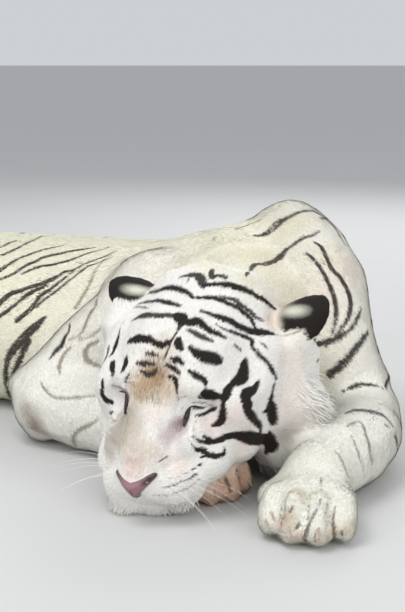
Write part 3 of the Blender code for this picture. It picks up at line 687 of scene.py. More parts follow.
FRONT_STRIPES = (
    # the flank, from the back towards the belly
    ("brown", ((-38.9, 29.1, 3), (-37.6, 29.6, 3), (-36, 30.1, 3), (-34.3, 30.8, 2.5), (-32.3, 31.3, 1))),
    ("brown", (
        (-38.6, 27.9, 3.5), (-36.9, 28.5, 3.5), (-34.4, 29.6, 3), (-32.8, 30.2, 3), (-31.2, 30.7, 2),
        (-29.5, 31, 1),
    )),
    ("brown", (
        (-38, 25.7, 4.5), (-36.7, 26.6, 4.5), (-35.3, 27.4, 3.5), (-34, 28, 3), (-32.2, 28.6, 3),
        (-30.3, 29.2, 2.5), (-28.6, 29.6, 2), (-26.2, 30.1, 1),
    )),
    ("brown", (
        (-37.7, 24.4, 3), (-35.1, 25.5, 3.5), (-34, 26.2, 3), (-32.7, 27, 3), (-30.9, 27.7, 3.5),
        (-29.9, 28.2, 4.5), (-28, 28.7, 4), (-26, 29.1, 3.5), (-24.2, 29.5, 3), (-21.7, 29.9, 2.5),
        (-19.8, 30.2, 1),
    )),
    ("brown", (
        (-33.2, 25.7, 2), (-31.1, 26.6, 3), (-29.5, 27.1, 2.5), (-27.7, 27.4, 2.5), (-26.1, 27.8, 3),
        (-24.5, 28.2, 3), (-22.8, 28.8, 2.5), (-21, 29.4, 2), (-19, 29.9, 1.5), (-17.2, 30.4, 1),
    )),
    ("brown", (
        (-37.2, 20.6, 5), (-36.3, 21.5, 5), (-34.9, 22.5, 4), (-33.3, 23, 3.5), (-31.6, 23.7, 3.5),
        (-30.2, 24.1, 4), (-28.3, 24.8, 4.5), (-26.6, 25.6, 4), (-25.1, 26.5, 3), (-23.3, 27, 2),
        (-21.5, 27.9, 2), (-19.6, 28.6, 2), (-17.5, 29.3, 2), (-15.9, 30, 1),
    )),
    ("brown", (
        (-37.2, 18.4, 3.5), (-36, 19.2, 3.5), (-34.5, 20.3, 3), (-33.2, 21.4, 3), (-31.8, 22.5, 3.5),
        (-30.3, 23.3, 3.5), (-28.4, 24.2, 2.5),
    )),
    ("brown", (
        (-33.8, 17.9, 4), (-32.6, 18.9, 4), (-31.2, 20.1, 5), (-30.3, 21.2, 4), (-29.4, 22.4, 4),
        (-27.7, 23.5, 3.5), (-26.4, 24.5, 3), (-25, 25.6, 2.5), (-23.4, 26.8, 2), (-22.5, 27.4, 1.5),
    )),
    ("brown", (
        (-30, 20.6, 3), (-28.9, 21.7, 2.5), (-27.2, 22.9, 2.5), (-25.9, 23.8, 2.5), (-24.6, 24.9, 2.5),
        (-23.2, 25.9, 2), (-21.9, 26.9, 2), (-20.6, 27.7, 2), (-18.6, 28.4, 1.5), (-16.4, 29.2, 1),
    )),
    ("brown", (
        (-28.2, 19.1, 2.5), (-29.6, 17.8, 6), (-31.3, 16.2, 7.5), (-32.7, 14.8, 7), (-34, 13.2, 6.5),
        (-35.2, 11.6, 6), (-35.8, 10.2, 5), (-36.2, 8, 5), (-36.3, 5.7, 6), (-36.1, 3.3, 6),
        (-35.8, 1.4, 4),
    )),
    ("brown", (
        (-31.3, 14.7, 5), (-32.2, 13.2, 5.5), (-33.1, 11.3, 5), (-33.8, 9.7, 4.5), (-34.7, 7.9, 4),
        (-35.6, 5.7, 3),
    )),
    # the right shoulder and arm
    ("faint", (
        (-16.5, 29.6, 1), (-18.7, 28, 2), (-19.7, 26.2, 2.5), (-20.6, 24.3, 3), (-21.6, 22.7, 3),
        (-22.5, 21.3, 3),
    )),
    ("brown", (
        (-22.5, 21.3, 1), (-22.8, 19.8, 2.5), (-23.4, 18.4, 3.5), (-24, 17, 4), (-25, 16, 3.5),
        (-26, 14.9, 1.5),
    )),
    ("faint", (
        (-16.7, 26.8, 2), (-17.8, 25.2, 2.5), (-18.2, 23.6, 2.5), (-18.9, 22.6, 2.5),
        (-19.6, 21.4, 2.5), (-20.1, 20, 2), (-21, 18.9, 2), (-22.8, 18, 1),
    )),
    ("faint", ((-16.2, 21.6, 2), (-17.3, 20.2, 2), (-18.9, 19, 2), (-21.5, 18, 1))),
    ("faint", (
        (-17.6, 18.2, 2), (-19.1, 17.4, 3), (-19.8, 16.4, 3.5), (-19.5, 15.3, 4), (-18.4, 14.5, 3.5),
        (-16.9, 14, 2),
    )),
    ("faint", ((-22.3, 17, 2), (-23.6, 15.6, 3), (-24.2, 14, 3), (-24, 13, 1.5))),
    ("faint", (
        (-27.2, 11.7, 1.5), (-26.4, 10.8, 2), (-25, 9.9, 2), (-23, 9.9, 2), (-20.3, 10.3, 2),
        (-17.4, 10.7, 1.5),
    )),
    ("faint", ((-16.8, 7.6, 2), (-18.9, 6.1, 3), (-20.8, 4.6, 3), (-21.5, 3.2, 3.5), (-21.3, 1.5, 2))),
    # fine lines over the withers
    ("faint", (
        (-9.5, 29.5, 1), (-6.5, 30.2, 1.8), (-2.2, 32, 2), (2.2, 34, 2), (6.6, 35.7, 2),
        (10.5, 37.4, 1.8), (13.7, 39.4, 1),
    )),
    # the left shoulder and upper arm
    ("brown", (
        (9.2, 34.9, 3), (10.9, 35.2, 3), (12.3, 36, 3), (13.8, 37.3, 3.5), (15.6, 38.2, 3.5),
        (18, 38.7, 3.5), (19.9, 38.3, 3), (22.3, 36.7, 3), (24.4, 33.6, 1),
    )),
    ("brown", ((9.8, 34.9, 2), (11.5, 36, 2), (12.9, 37.2, 2.5), (14.5, 37.8, 2))),
    ("brown", (
        (6.6, 32.3, 2), (8.1, 32.4, 4), (10, 32.2, 4.5), (12, 32.2, 4), (13.2, 32.7, 5), (14, 33.4, 4),
        (15.6, 34.4, 3.5), (17, 35.2, 3.5), (18.6, 35.6, 2.5), (19.9, 36.2, 1),
    )),
    ("brown", (
        (18.7, 34.7, 2), (19.8, 34, 3), (20.5, 32.5, 3), (21.2, 31, 3.5), (22.6, 29.6, 3.5),
        (23.6, 27.9, 4), (24.1, 26.6, 4), (24.1, 25.2, 4), (23.5, 23.6, 3), (22.3, 22.2, 2.5),
        (21, 20.6, 2), (19.8, 19.5, 2),
    )),
    ("brown", (
        (17.3, 33.2, 2), (18.3, 32.4, 3), (19.3, 31.2, 3), (20.2, 29.7, 3), (20.9, 28.2, 3.5),
        (21.4, 26.7, 3.5), (21.6, 24.8, 3.5), (21.3, 23, 2.5), (20.8, 21.4, 1.5),
    )),
    ("brown", (
        (26.1, 24.7, 1.5), (25.2, 23.4, 3), (24.4, 22.4, 3), (21.8, 20.8, 4), (19.8, 20.2, 4.5),
        (18.4, 19.8, 4.5),
    )),
    ("brown", ((18.1, 21.8, 2.5), (17.9, 20.6, 3), (17.4, 20, 2))),
    ("brown", ((19.1, 13.6, 6), (20.6, 15, 6.5), (22.2, 16.4, 6), (25.1, 19.4, 4.5), (27.1, 21.2, 2.5))),
    # the left forearm and toes
    ("brown", ((22.8, 12.6, 2.5), (24.4, 13.2, 4.5), (26.2, 13.4, 3.5), (29.2, 12.6, 2))),
    ("brown", ((22.2, 11.6, 2.5), (23.4, 11.9, 3.5), (25, 11.9, 3), (27.8, 11, 2.5), (29.3, 9.5, 2))),
    ("faint", ((21.6, 11.1, 1.5), (23.9, 11, 2.2), (24.6, 9.3, 2.4), (24.9, 7.6, 2.2), (25.3, 6, 1.8))),
    ("faint", ((22.0, 10.2, 1), (22.7, 8.8, 1.6), (23.3, 7, 1.6), (24.1, 4.2, 1))),
    ("faint", ((19.2, 9.4, 1), (20.1, 8.3, 1.8), (20.8, 6.3, 1.4))),
    # the cleft lines below are painted shade down between the toes
    ("cleft", (
        (16.6, 7.6, 0.8), (15.9, 6.5, 1.2), (15.2, 5.4, 1.6), (14.6, 4.3, 2), (14.0, 2.8, 2.6),
        (13.8, 1.4, 2.4),
    )),
    ("cleft", ((15.5, 3.4, 2), (15.2, 2.4, 2), (15.1, 1.6, 1))),
    ("cleft", ((18.0, 5.6, 0.8), (17.7, 4.4, 1.6), (17.7, 3.4, 2.6), (17.8, 2.1, 2.6), (17.9, 1.2, 2))),
    ("cleft", ((13.0, 3.6, 2.2), (12.6, 3.2, 1.6))),
    ("cleft", ((19.0, 2.4, 2.2), (19.0, 1.8, 1.6))),
    ("ochre", ((9.4, 4.1, 2.2), (9.8, 3.4, 1.6))),
    ("cleft", ((3.4, 4.0, 2), (3.7, 3.2, 2.4), (4.1, 2.2, 2))),
    ("cleft", ((12.2, 5.7, 1.6), (11.8, 5.2, 1.8))),
)
# the left shoulder and arm seen from the tiger's left: cm along +Y and above the floor
LEFT_STRIPES = (
    ((-16, 36, 2), (-9, 37.5, 3), (-2, 36, 3), (4, 32, 1.5)),
    ((-15, 31, 2), (-8, 32.5, 3), (0, 30.5, 3), (7, 25, 1.5)),
    ((-18, 26.5, 2.5), (-10, 27.5, 3.5), (-2, 25.5, 3.5), (5, 20, 1.5)),
    ((-21, 21.5, 3), (-13, 22.5, 4), (-5, 21, 3.5), (2, 16, 1.5)),
    ((-24, 17.5, 3), (-16, 18, 4), (-8, 16.5, 3.5), (-2, 12.5, 1.5)),
    ((-28, 12.5, 3), (-21, 13, 3.5), (-15, 11.5, 3), (-11, 8, 1.5)),
    ((-35, 10.5, 2.5), (-33.5, 7.5, 3), (-31.5, 4.5, 2)),
    ((-41, 10, 2), (-39.5, 7, 3), (-38, 4, 2)),
    ((8, 22, 1.5), (11, 15, 3.5), (10, 8, 2)),
    ((15, 24, 1.5), (18.5, 15, 3.5), (17, 7, 2)),
    ((22, 25, 1.5), (26, 16, 3.5), (25, 7, 2)),
)
# metres of half width to one unit of a table's width
FACE_SCALE, FRONT_SCALE, LEFT_SCALE = 0.00126, 0.00122, 0.00120
FADE = 0.0012  # how far a mark takes to fade out at its edge
BROW_TICKS = 260
TICK_HALF_WIDTH = 0.0006
SURFACE_JUMP = 0.085  # a stripe ends where two of its stops lie farther apart than this
INSIDE_TAIL = 0.03  # how far below the tail's skin its rings are cast from
# each tone's colour and how much of the ground it covers
TONES = {
    "black": (DARK, 1.0),
    "brown": ((0.032, 0.023, 0.018), 0.97),
    "faint": ((0.17, 0.125, 0.075), 0.72),
    "mauve": ((0.13, 0.075, 0.078), 0.85),
    # painted shade down in the clefts between the toes
    "cleft": ((0.10, 0.065, 0.045), 0.80),
    "ochre": ((0.30, 0.19, 0.10), 0.70),
    "tick": ((0.10, 0.06, 0.04), 0.75),
}

# soft patches of ground tone, some of them painted shade: the place as above, its reach in cm, its colour
# and its strength
FACE_TINTS = (
    (-1.0, -3.2, 3.8, (0.40, 0.26, 0.13), 0.85),
    (-0.4, -2.6, 1.6, (0.24, 0.15, 0.08), 0.60),
    (-2.6, -5.6, 2.6, (0.50, 0.35, 0.20), 0.65),
    (1.5, -4.6, 2.6, (0.54, 0.40, 0.26), 0.50),
    (-0.6, 1.6, 2.6, (0.60, 0.50, 0.36), 0.50),
    # greyish tan down the tiger's right side of the bridge and muzzle: partly the coat's own tan, partly
    # painted shade where that side turns away
    (-3.2, -9.5, 2.8, (0.42, 0.36, 0.27), 0.75),
    (-5.0, -9.6, 2.0, (0.36, 0.32, 0.25), 0.60),
    (-5.4, -11.6, 2.2, (0.34, 0.30, 0.23), 0.65),
    (-5.6, -13.6, 2.2, (0.36, 0.31, 0.25), 0.60),
    (-5.4, -15.6, 1.8, (0.42, 0.34, 0.28), 0.50),
    (-3.4, -12.6, 2.8, (0.44, 0.38, 0.29), 0.70),
    (-1.4, -10.8, 1.8, (0.58, 0.47, 0.36), 0.50),
    (-0.6, -13.6, 2.6, (0.62, 0.50, 0.38), 0.55),
    (1.8, -13.6, 2.2, (0.64, 0.53, 0.42), 0.45),
    # mauve at the inner corners of the shut eyes, darkest nearest them: painted shade in the hollows there
    (4.2, -8.4, 0.9, (0.10, 0.05, 0.06), 0.85),
    (3.7, -9.2, 1.5, (0.24, 0.14, 0.16), 0.80),
    (3.0, -10.8, 1.9, (0.40, 0.27, 0.29), 0.55),
    (-4.9, -7.7, 1.5, (0.36, 0.24, 0.23), 0.60),
    (-0.5, -16.2, 2.2, (0.62, 0.44, 0.38), 0.60),
    (7.5, -8.0, 2.4, (0.72, 0.52, 0.47), 0.45),
    (10.5, -6.0, 2.6, (0.76, 0.60, 0.54), 0.45),
    (11.2, -10.4, 1.8, (0.74, 0.56, 0.50), 0.45),
    (4.8, -14.5, 2.2, (0.74, 0.58, 0.50), 0.40),
    (10.5, 8.8, 2.0, (0.62, 0.46, 0.36), 0.45),
    (15.5, -2.5, 2.5, (0.76, 0.62, 0.54), 0.45),
    (0.6, -8.2, 1.8, (0.78, 0.62, 0.55), 0.50),
    (14.6, 4.2, 3.0, (0.74, 0.66, 0.58), 0.60),
    (15.6, 0.8, 2.6, (0.74, 0.64, 0.57), 0.50),
    (6.0, 14.5, 4.5, (0.74, 0.71, 0.56), 0.75),
    (0.0, 15.5, 4.0, (0.74, 0.71, 0.56), 0.75),
    (10.5, 11.5, 2.8, (0.72, 0.62, 0.52), 0.60),
    (7.4, -4.9, 1.2, (0.40, 0.34, 0.36), 0.45),
    # greyish patch low on the tiger's left cheek: painted shade under the cheek
    (12.2, -11.6, 2.0, (0.52, 0.42, 0.38), 0.50),
)
FRONT_TINTS = (
    (-28.6, 4.6, 2.4, (0.22, 0.15, 0.13), 0.80),
    (-29.8, 6.6, 2.6, (0.36, 0.28, 0.23), 0.55),
    (-26.8, 3.4, 1.8, (0.42, 0.34, 0.28), 0.50),
    (14.5, 37.0, 6.0, (0.66, 0.62, 0.44), 0.60),
    (20.0, 33.0, 5.0, (0.72, 0.66, 0.50), 0.45),
    (9.0, 33.0, 5.0, (0.62, 0.57, 0.40), 0.60),
    (24.0, 31.0, 4.5, (0.76, 0.66, 0.56), 0.45),
    (19.0, 27.0, 5.0, (0.76, 0.64, 0.56), 0.45),
    (11.5, 4.6, 1.8, (0.46, 0.34, 0.20), 0.65),
    (10.2, 3.0, 1.6, (0.56, 0.40, 0.30), 0.55),
    (12.6, 2.0, 1.8, (0.58, 0.44, 0.34), 0.55),
    (13.6, 6.8, 1.8, (0.55, 0.45, 0.28), 0.50),
    (15.8, 2.0, 1.6, (0.60, 0.45, 0.36), 0.50),
    (17.6, 2.4, 1.6, (0.48, 0.37, 0.22), 0.60),
    (20.0, 3.0, 1.6, (0.60, 0.50, 0.36), 0.50),
    (9.0, 8.2, 1.8, (0.62, 0.52, 0.38), 0.50),
    # grey-brown under the ruff, lightening upwards: painted shade on the ruff's underside
    (12.0, 9.6, 2.2, (0.34, 0.28, 0.24), 0.60),
    (13.6, 10.8, 2.2, (0.46, 0.40, 0.35), 0.55),
    (15.2, 12.6, 2.0, (0.60, 0.54, 0.47), 0.50),
)

# long hair in the head frame: the place, its reach, the way it falls, tufts to the cm2, how many times
# the length of the hair there, and from how far to how far it stands out
FRINGES = (
    ((0.160, -0.080, 0.070), 0.045, (0.85, 0.05, -0.45), 9.0, 3.2, (0.18, 0.50)),
    ((0.180, -0.090, 0.030), 0.050, (0.80, -0.05, -0.60), 12.0, 3.8, (0.18, 0.55)),
    ((0.175, -0.110, -0.010), 0.050, (0.70, -0.10, -0.70), 13.0, 4.0, (0.18, 0.55)),
    ((0.155, -0.130, -0.045), 0.050, (0.60, -0.25, -0.75), 13.0, 4.0, (0.18, 0.55)),
    ((0.120, -0.150, -0.060), 0.040, (0.45, -0.40, -0.80), 10.0, 3.2, (0.15, 0.50)),
    ((-0.125, -0.110, 0.070), 0.060, (-0.80, 0.30, -0.50), 6.0, 1.8, (0.10, 0.30)),
    ((-0.120, -0.170, 0.030), 0.050, (-0.80, -0.10, -0.60), 6.0, 1.8, (0.10, 0.30)),
    ((-0.045, -0.330, 0.020), 0.035, (-0.35, -0.60, -0.75), 12.0, 2.0, (0.15, 0.45)),
    ((0.000, -0.335, 0.014), 0.032, (0.0, -0.70, -0.75), 12.0, 2.0, (0.15, 0.45)),
    ((0.045, -0.320, 0.020), 0.035, (0.35, -0.60, -0.75), 12.0, 2.0, (0.15, 0.45)),
)
FRINGE_PLENTY, FRINGE_WIDTH, FRINGE_SWING = 1.4, 0.72, 0.30
# root on the left of the face in cm, length, and how far it leans back and up
WHISKERS = (
    (4.6, -17.2, 0.085, -0.35, 0.05),
    (5.6, -16.6, 0.100, -0.25, 0.10),
    (6.6, -15.9, 0.095, -0.10, 0.16),
    (5.6, -17.8, 0.090, -0.30, -0.02),
    (7.0, -16.6, 0.095, -0.10, 0.04),
    (7.8, -15.6, 0.085, 0.05, 0.10),
    (6.4, -18.2, 0.070, -0.25, -0.15),
    (3.6, -3.8, 0.050, -0.55, 0.55),
    (4.4, -3.4, 0.055, -0.40, 0.60),
)
# creases pressed into the skin: stops of across, along, reach in mm, depth in mm, laid like the stripes.
# The paired ones are the same on both sides of the face.
PAIRED_FOLDS = (
    ((3.2, -7.2, 2.5, 1.0), (3.5, -5.6, 3, 2.2), (4.9, -4.8, 3, 2.4), (6.8, -4.7, 3, 1.4)),
    ((4.3, -9.0, 4, 2.5), (3.9, -10.4, 5, 2.5), (3.7, -12.0, 5, 1.2)),
    ((6.2, -8.4, 2.5, 1.2), (6.6, -9.6, 2.5, 2), (7.9, -10.6, 2.5, 2), (8.9, -10.2, 2.5, 1)),
    ((5.5, -9.4, 2.5, 1.2), (6.2, -10.9, 3, 2), (7.6, -11.8, 3, 2), (9.4, -12.1, 3, 1)),
    ((3.4, -15.2, 4, 1), (5.3, -13.6, 5, 2), (7.6, -12.6, 5, 1.5)),
)
FOLDS = (
    ((0.2, 5.6, 4, 1.5), (0.0, 3.0, 4, 2.5), (-0.2, 0.0, 4, 1.5)),
    ((-0.8, -20.3, 1.8, 2.0), (-1.0, -21.2, 1.8, 2.5), (-1.1, -22.6, 1.8, 2.0)),
)


class Surface:
    """The finished skin as something to lay marks on."""

    def __init__(self, bm):
        self.tree = BVHTree.FromBMesh(bm)

    def on_face(self, across, along):
        """A place on the face: across and along, in cm, cast down the slope of the face."""
        sight = Vector((0, -0.69, 0.72))
        start = Vector((across / 100, 0, 0)) + Vector((0, 0.72, 0.69)) * (along / 100) + sight
        return self.tree.ray_cast(HEAD @ start, HEAD.to_3x3() @ -sight)[0]

    def on_front(self, across, along):
        """A place seen from the front: cm along +X and above the floor."""
        return self.tree.ray_cast(Vector((across / 100, -3, along / 100)), Vector((0, 1, 0)))[0]

    def on_left(self, across, along):
        """A place seen from the tiger's left: cm along +Y and above the floor."""
        return self.tree.ray_cast(Vector((3, across / 100, along / 100)), Vector((-1, 0, 0)))[0]

    def around(self, middle, away):
        """Where a line from inside the body comes out."""
        return self.tree.ray_cast(middle, away)[0]


def curved(stops):
    """Points and half widths every 2 mm or so along a smooth curve through the stops."""
    stops = [(Vector(spot), width) for spot, width in stops if spot]
    made = []
    for i, ((b, wide), (c, next_wide)) in enumerate(zip(stops, stops[1:])):
        a = stops[i - 1][0] if i else b
        d = stops[i + 2][0] if i + 2 < len(stops) else c
        steps = max(2, int((c - b).length / 0.002))
        for step in range(steps + 1):
            f = step / steps
            bend = (c - a) * f + (a * 2 - b * 5 + c * 4 - d) * f * f + (b * 3 - a - c * 3 + d) * f**3
            made.append((b + bend * 0.5, wide + (next_wide - wide) * f))
    return made


def drawn_stripes(surface):
    """Every mark of the tables, and the brow's short ticks, as (tone, points with half widths)."""
    drawn = []
    for tone, stops in FACE_STRIPES:
        (a, b, _), (c, d, _) = stops[0], stops[-1]
        level = 1 + 0.12 * abs(c - a) / math.hypot(c - a, d - b)
        placed = [
            (surface.on_face(a, b), max(TICK_HALF_WIDTH, (w * FACE_SCALE - 0.0004) * level))
            for a, b, w in stops
        ]
        drawn.append((tone, curved(placed)))
    for tone, stops in FRONT_STRIPES:
        drawn.append((tone, curved([(surface.on_front(a, b), w * FRONT_SCALE) for a, b, w in stops])))
    for _ in range(BROW_TICKS):
        across, along = chance.normal(-0.9, 1.8), chance.uniform(-6.8, 0.6)
        lean, long = (across + 0.8) * 0.10, chance.uniform(0.25, 0.55)
        ends = (across, along), (across + lean * long, along + long)
        tick = [(surface.on_face(*end), TICK_HALF_WIDTH) for end in ends]
        drawn.append((("tick", "ochre")[int(chance.integers(2))], curved(tick)))
    return drawn


def banded(
    surface, head_end, tail_end, stations, arc, width, slant=0.02, wobble=0.004, limit=0.4, blunt=False
):
    """Brown stripes round a limb or the trunk, at each station along its axis.

    The arc is in degrees from the top. A stripe drops the stops that lie farther than the limit from
    the axis, and ends where the surface jumps. A blunt one keeps its full width to its ends.
    """
    axis = (tail_end - head_end).normalized()
    side = axis.cross(Vector((0, 0, 1))).normalized()
    up = side.cross(axis)
    low, high = arc
    drawn = []
    for station in stations:
        middle = head_end.lerp(tail_end, station)
        skin, out = surface.tree.find_nearest(middle)[:2]
        lean = slant * chance.uniform(0.4, 1.6)
        wide = width * chance.uniform(0.7, 1.25)
        reach = 1.0 if blunt else chance.uniform(0.75, 1.0)
        stops = []
        for k in range(9):
            f = k / 8
            turn = math.radians(low + (high - low) * f * reach)
            at = middle + axis * (lean * f + chance.normal(0, wobble))
            if blunt:
                at = skin - out * INSIDE_TAIL
            spot = surface.around(at, up * math.cos(turn) + side * math.sin(turn))
            if not spot or (spot - at).length > limit:
                continue
            if stops and (spot - stops[-1][0]).length > SURFACE_JUMP:
                break
            taper = 1.0 if blunt else math.sin(math.pi * min(0.92, 0.12 + 0.8 * f)) ** 0.7
            stops.append((spot, wide * taper))
        if len(stops) > 3:
            drawn.append(("brown", curved(stops)))
    return drawn


def unseen_stripes(surface):
    """Stripes of the kind over the far side, the rump, the hind legs, the left shoulder and the tail."""
    drawn = []
    chest, loin = centre_of("chest"), centre_of("loin")
    axis = (loin - chest).normalized()
    start, end = chest - axis * 0.25, loin + axis * 0.30
    length = (end - start).length
    far = [s / length for s in np.arange(0.10, length - 0.03, 0.058)]
    drawn += banded(surface, start, end, far, (4, 140), 0.0070, slant=0.05)
    drawn += banded(surface, start, end, [f + 0.022 for f in far[::2]], (35, 85), 0.0048, slant=0.04)
    near = [f for f in far if (start + (end - start) * f).x < -0.55]
    drawn += banded(surface, start, end, near, (-4, -112), 0.0070, slant=0.06)
    drawn += banded(surface, start, end, [f + 0.02 for f in near[::2]], (-30, -80), 0.0048, slant=0.04)
    for side in ("left", "right"):
        knee, foot = centre_of(f"shank_{side}"), centre_of(f"hindpaw_{side}")
        spots = [0.05 + 0.8 * k / 3 for k in range(3)]
        drawn += banded(surface, knee, foot, spots, (-100, 70), 0.0045, slant=0.012, limit=0.17)
    for stops in LEFT_STRIPES:
        drawn.append(("brown", curved([(surface.on_left(a, b), w * LEFT_SCALE) for a, b, w in stops])))
    return drawn + tail_rings(surface)


def tail_rings(surface):
    """Rings round the tail, closer and wider at its tip."""
    middles = [centre_of(name) for name in CHAINS[0]]
    rings = []
    for one, two in zip(middles[1:], middles[2:]):
        rings.append((one, two, (0.0, 0.34, 0.68), 0.011))
    rings.append((middles[-2], middles[-1], (1.0, 1.3, 1.6), 0.013))
    drawn = []
    for one, two, stations, width in rings:
        drawn += banded(
            surface, one, two, stations, (-180, 200), width, slant=0.0, wobble=0.001, limit=0.12, blunt=True
        )
    return drawn


def tints_of(surface):
    """The soft patches as (place, reach in metres, colour, strength)."""
    placed = [(surface.on_face(a, b), reach, colour, share) for a, b, reach, colour, share in FACE_TINTS]
    placed += [(surface.on_front(a, b), reach, colour, share) for a, b, reach, colour, share in FRONT_TINTS]
    return [
        (np.array(spot), reach / 100, np.array(colour), share)
        for spot, reach, colour, share in placed
        if spot
    ]


def ear_tones(ground, points, normals, name, own):
    """Lays the dark back of an ear with its pale spot, and the pale hair inside it, over the ground."""
    root, axis, back, length = ear_frame(name)
    local = in_head(points) - np.array(root)
    along = local @ np.array(axis)
    across = local @ np.array(back.cross(axis))
    high = local @ np.array(back)
    outer = (normals @ np.array(HEAD.to_3x3())) @ np.array(back)
    tone = np.array(DARK) + 0 * points
    inwards = 1.0 if name == "ear_left" else -1.0
    beside = across * inwards - 0.006 + 0.25 * (along - 0.04)
    spot = np.hypot((along - 0.40 * length) / 0.024, beside / 0.0105)
    tone += (np.array(EAR_SPOT) - tone) * (np.clip(1.35 - spot, 0, 1) ** 0.9)[:, None]
    inner = (np.clip(-outer * 4 - 2.2, 0, 1) * np.clip(-high / 0.002, 0, 1))[:, None]
    tone += (np.array(EAR_LINING) - tone) * inner
    own = own | ((np.hypot(across, along - 0.5 * length) < 0.024) & (np.abs(high) < 0.022))
    near = own * np.clip((along - 0.010) / 0.012, 0, 1)
    ground += (tone - ground) * near[:, None]


def ground_of(points, normals, part, pairs, tints):
    """The coat's ground tone at each vertex, blended from part to part, with its soft patches, some of them
    painted shade.
    """
    tones = {"head": BRIGHT, "forearm": WHITE, "upper_arm": ARM_TONE, "neck": IVORY, "ear": IVORY}
    tone = np.array([tones.get(kind_of(name), CREAM) for name in FLESH])
    tone[FLESH.index("forepaw_left")] = LEFT_PAW_TONE
    tone[FLESH.index("forepaw_right")] = RIGHT_PAW_TONE
    ground = averaged(tone[part], pairs, 70)
    for name in EARS:
        ear_tones(ground, points, normals, name, part == FLESH.index(name))
    for spot, reach, colour, share in tints:
        far = np.linalg.norm(points - spot, axis=1) / reach
        cover = share * np.clip(1.35 - far * 1.1, 0, 1) ** 1.3
        ground += (colour - ground) * cover[:, None]
    return ground


def painted(points, ground, stripes, ragged):
    """The ground tones at these points with every stripe laid over them."""
    tree = tree_of(points)
    cover = np.zeros(len(points))
    over = np.zeros((len(points), 3))
    edge = chance.normal(0, ragged, len(points))
    for tone, path in stripes:
        colour, most = TONES[tone]
        for spot, width in path:
            for _, number, far in tree.find_range(spot, width + 0.0022):
                share = min(1.0, max(0.0, (width - far + edge[number]) / FADE + 0.5)) * most
                if share > cover[number]:
                    cover[number] = share
                    over[number] = colour
    return ground + (over - ground) * cover[:, None]


# ---- the tufts ---------------------------------------------------------------------------------
PATCH = 0.003  # how much of the map one tuft takes
MOST_LEAVES, MOST_RIBBED = 96000, 48000  # tufts in one piece
UNDERSIDE = 0.004  # below this height the coat lies on the floor and hardly needs tufts
TOUCH = 0.0022  # how near another piece the skin stays bare


def leaf_points(roots, normals, lies, lengths, widths, lifts, rows):
    """Each tuft's points: its root, three across each row with the middle one raised, and its tip.

    With no rows it is the plainest leaf: root, two sides and tip.
    """
    sides = np.cross(normals, lies)
    step = 3 * rows + 2 if rows else 4
    points = np.empty((len(roots), step, 3))
    points[:, 0] = roots - normals * 0.0008
    for row in range(rows):
        t = (row + 1) / (rows + 1)
        rise = lengths * lifts * (1.5 * t - 0.5 * t * t)
        middle = roots + lies * (lengths * t)[:, None] + normals * rise[:, None]
        half = widths * (0.5 if row == 0 else 0.42)
        drop = half * 0.55
        points[:, 1 + 3 * row] = middle + sides * half[:, None] - normals * drop[:, None]
        points[:, 2 + 3 * row] = middle
        points[:, 3 + 3 * row] = middle - sides * half[:, None] - normals * drop[:, None]
    if not rows:
        middle = roots + lies * (lengths * 0.42)[:, None] + normals * (lengths * lifts * 0.55)[:, None]
        points[:, 1] = middle + sides * (widths * 0.5)[:, None]
        points[:, 2] = middle - sides * (widths * 0.5)[:, None]
    points[:, -1] = roots + lies * lengths[:, None] + normals * (lengths * lifts)[:, None]
    points[:, :, 2] = np.maximum(points[:, :, 2], LOWEST_HAIR)
    return points


def leaf_faces(count, rows):
    """The triangles of so many tufts."""
    if not rows:
        shape = [(0, 2, 1), (2, 3, 1)]
        return (np.arange(count)[:, None, None] * 4 + np.array(shape)).reshape(-1, 3)
    last = 3 * rows - 2
    shape = [(0, 2, 1), (0, 3, 2), (last, last + 1, last + 3), (last + 1, last + 2, last + 3)]
    for row in range(rows - 1):
        a = 1 + 3 * row
        shape += [(a, a + 1, a + 4), (a, a + 4, a + 3), (a + 1, a + 2, a + 5), (a + 1, a + 5, a + 4)]
    return (np.arange(count)[:, None, None] * (3 * rows + 2) + np.array(shape)).reshape(-1, 3)


def leaf_patches(maps, rows):
    """Each tuft's own small patch of the map, at its root's place on it."""
    patch = np.empty((len(maps), 3 * rows + 2 if rows else 4, 2))
    along = np.linspace(-0.5, 0.5, rows + 2)
    patch[:, 0] = (0, along[0])
    patch[:, -1] = (0, along[-1])
    if not rows:
        patch[:, 1] = (0.5, 0)
        patch[:, 2] = (-0.5, 0)
    for row in range(rows):
        for k, across in enumerate((0.5, 0, -0.5)):
            patch[:, 1 + 3 * row + k] = (across, along[row + 1])
    return maps[:, None, :] + patch * PATCH


def tufts(name, points, faces, hues, tips, patches, finish):
    """One mesh of leaf-shaped tufts, darker at the root as painted shade deep in the coat, and running to
    the tip's hue.
    """
    count, step = points.shape[:2]
    mesh = bpy.data.meshes.new(name)
    mesh.vertices.add(count * step)
    mesh.vertices.foreach_set("co", points.reshape(-1))
    mesh.loops.add(len(faces) * 3)
    mesh.loops.foreach_set("vertex_index", faces.reshape(-1).astype(np.int32))
    mesh.polygons.add(len(faces))
    mesh.polygons.foreach_set("loop_start", np.arange(0, len(faces) * 3, 3, dtype=np.int32))
    mesh.update(calc_edges=True)
    mesh.shade_smooth()
    colour = mesh.attributes.new("hue", "FLOAT_COLOR", "POINT")
    tint = np.ones((count, step, 4))
    tint[:, :, :3] = hues[:, None, :]
    # the root painted darker: painted shade deep in the coat
    tint[:, 0, :3] *= 0.8
    tint[:, -1, :3] = tips
    colour.data.foreach_set("color", tint.reshape(-1))
    layer = mesh.uv_layers.new(name="OFBake")
    layer.uv.foreach_set("vector", patches.reshape(-1, 2)[faces.reshape(-1)].reshape(-1))
    mesh.materials.append(finish)
    obj = bpy.data.objects.new(name, mesh)
    bpy.context.scene.collection.objects.link(obj)
    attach(obj, "root")


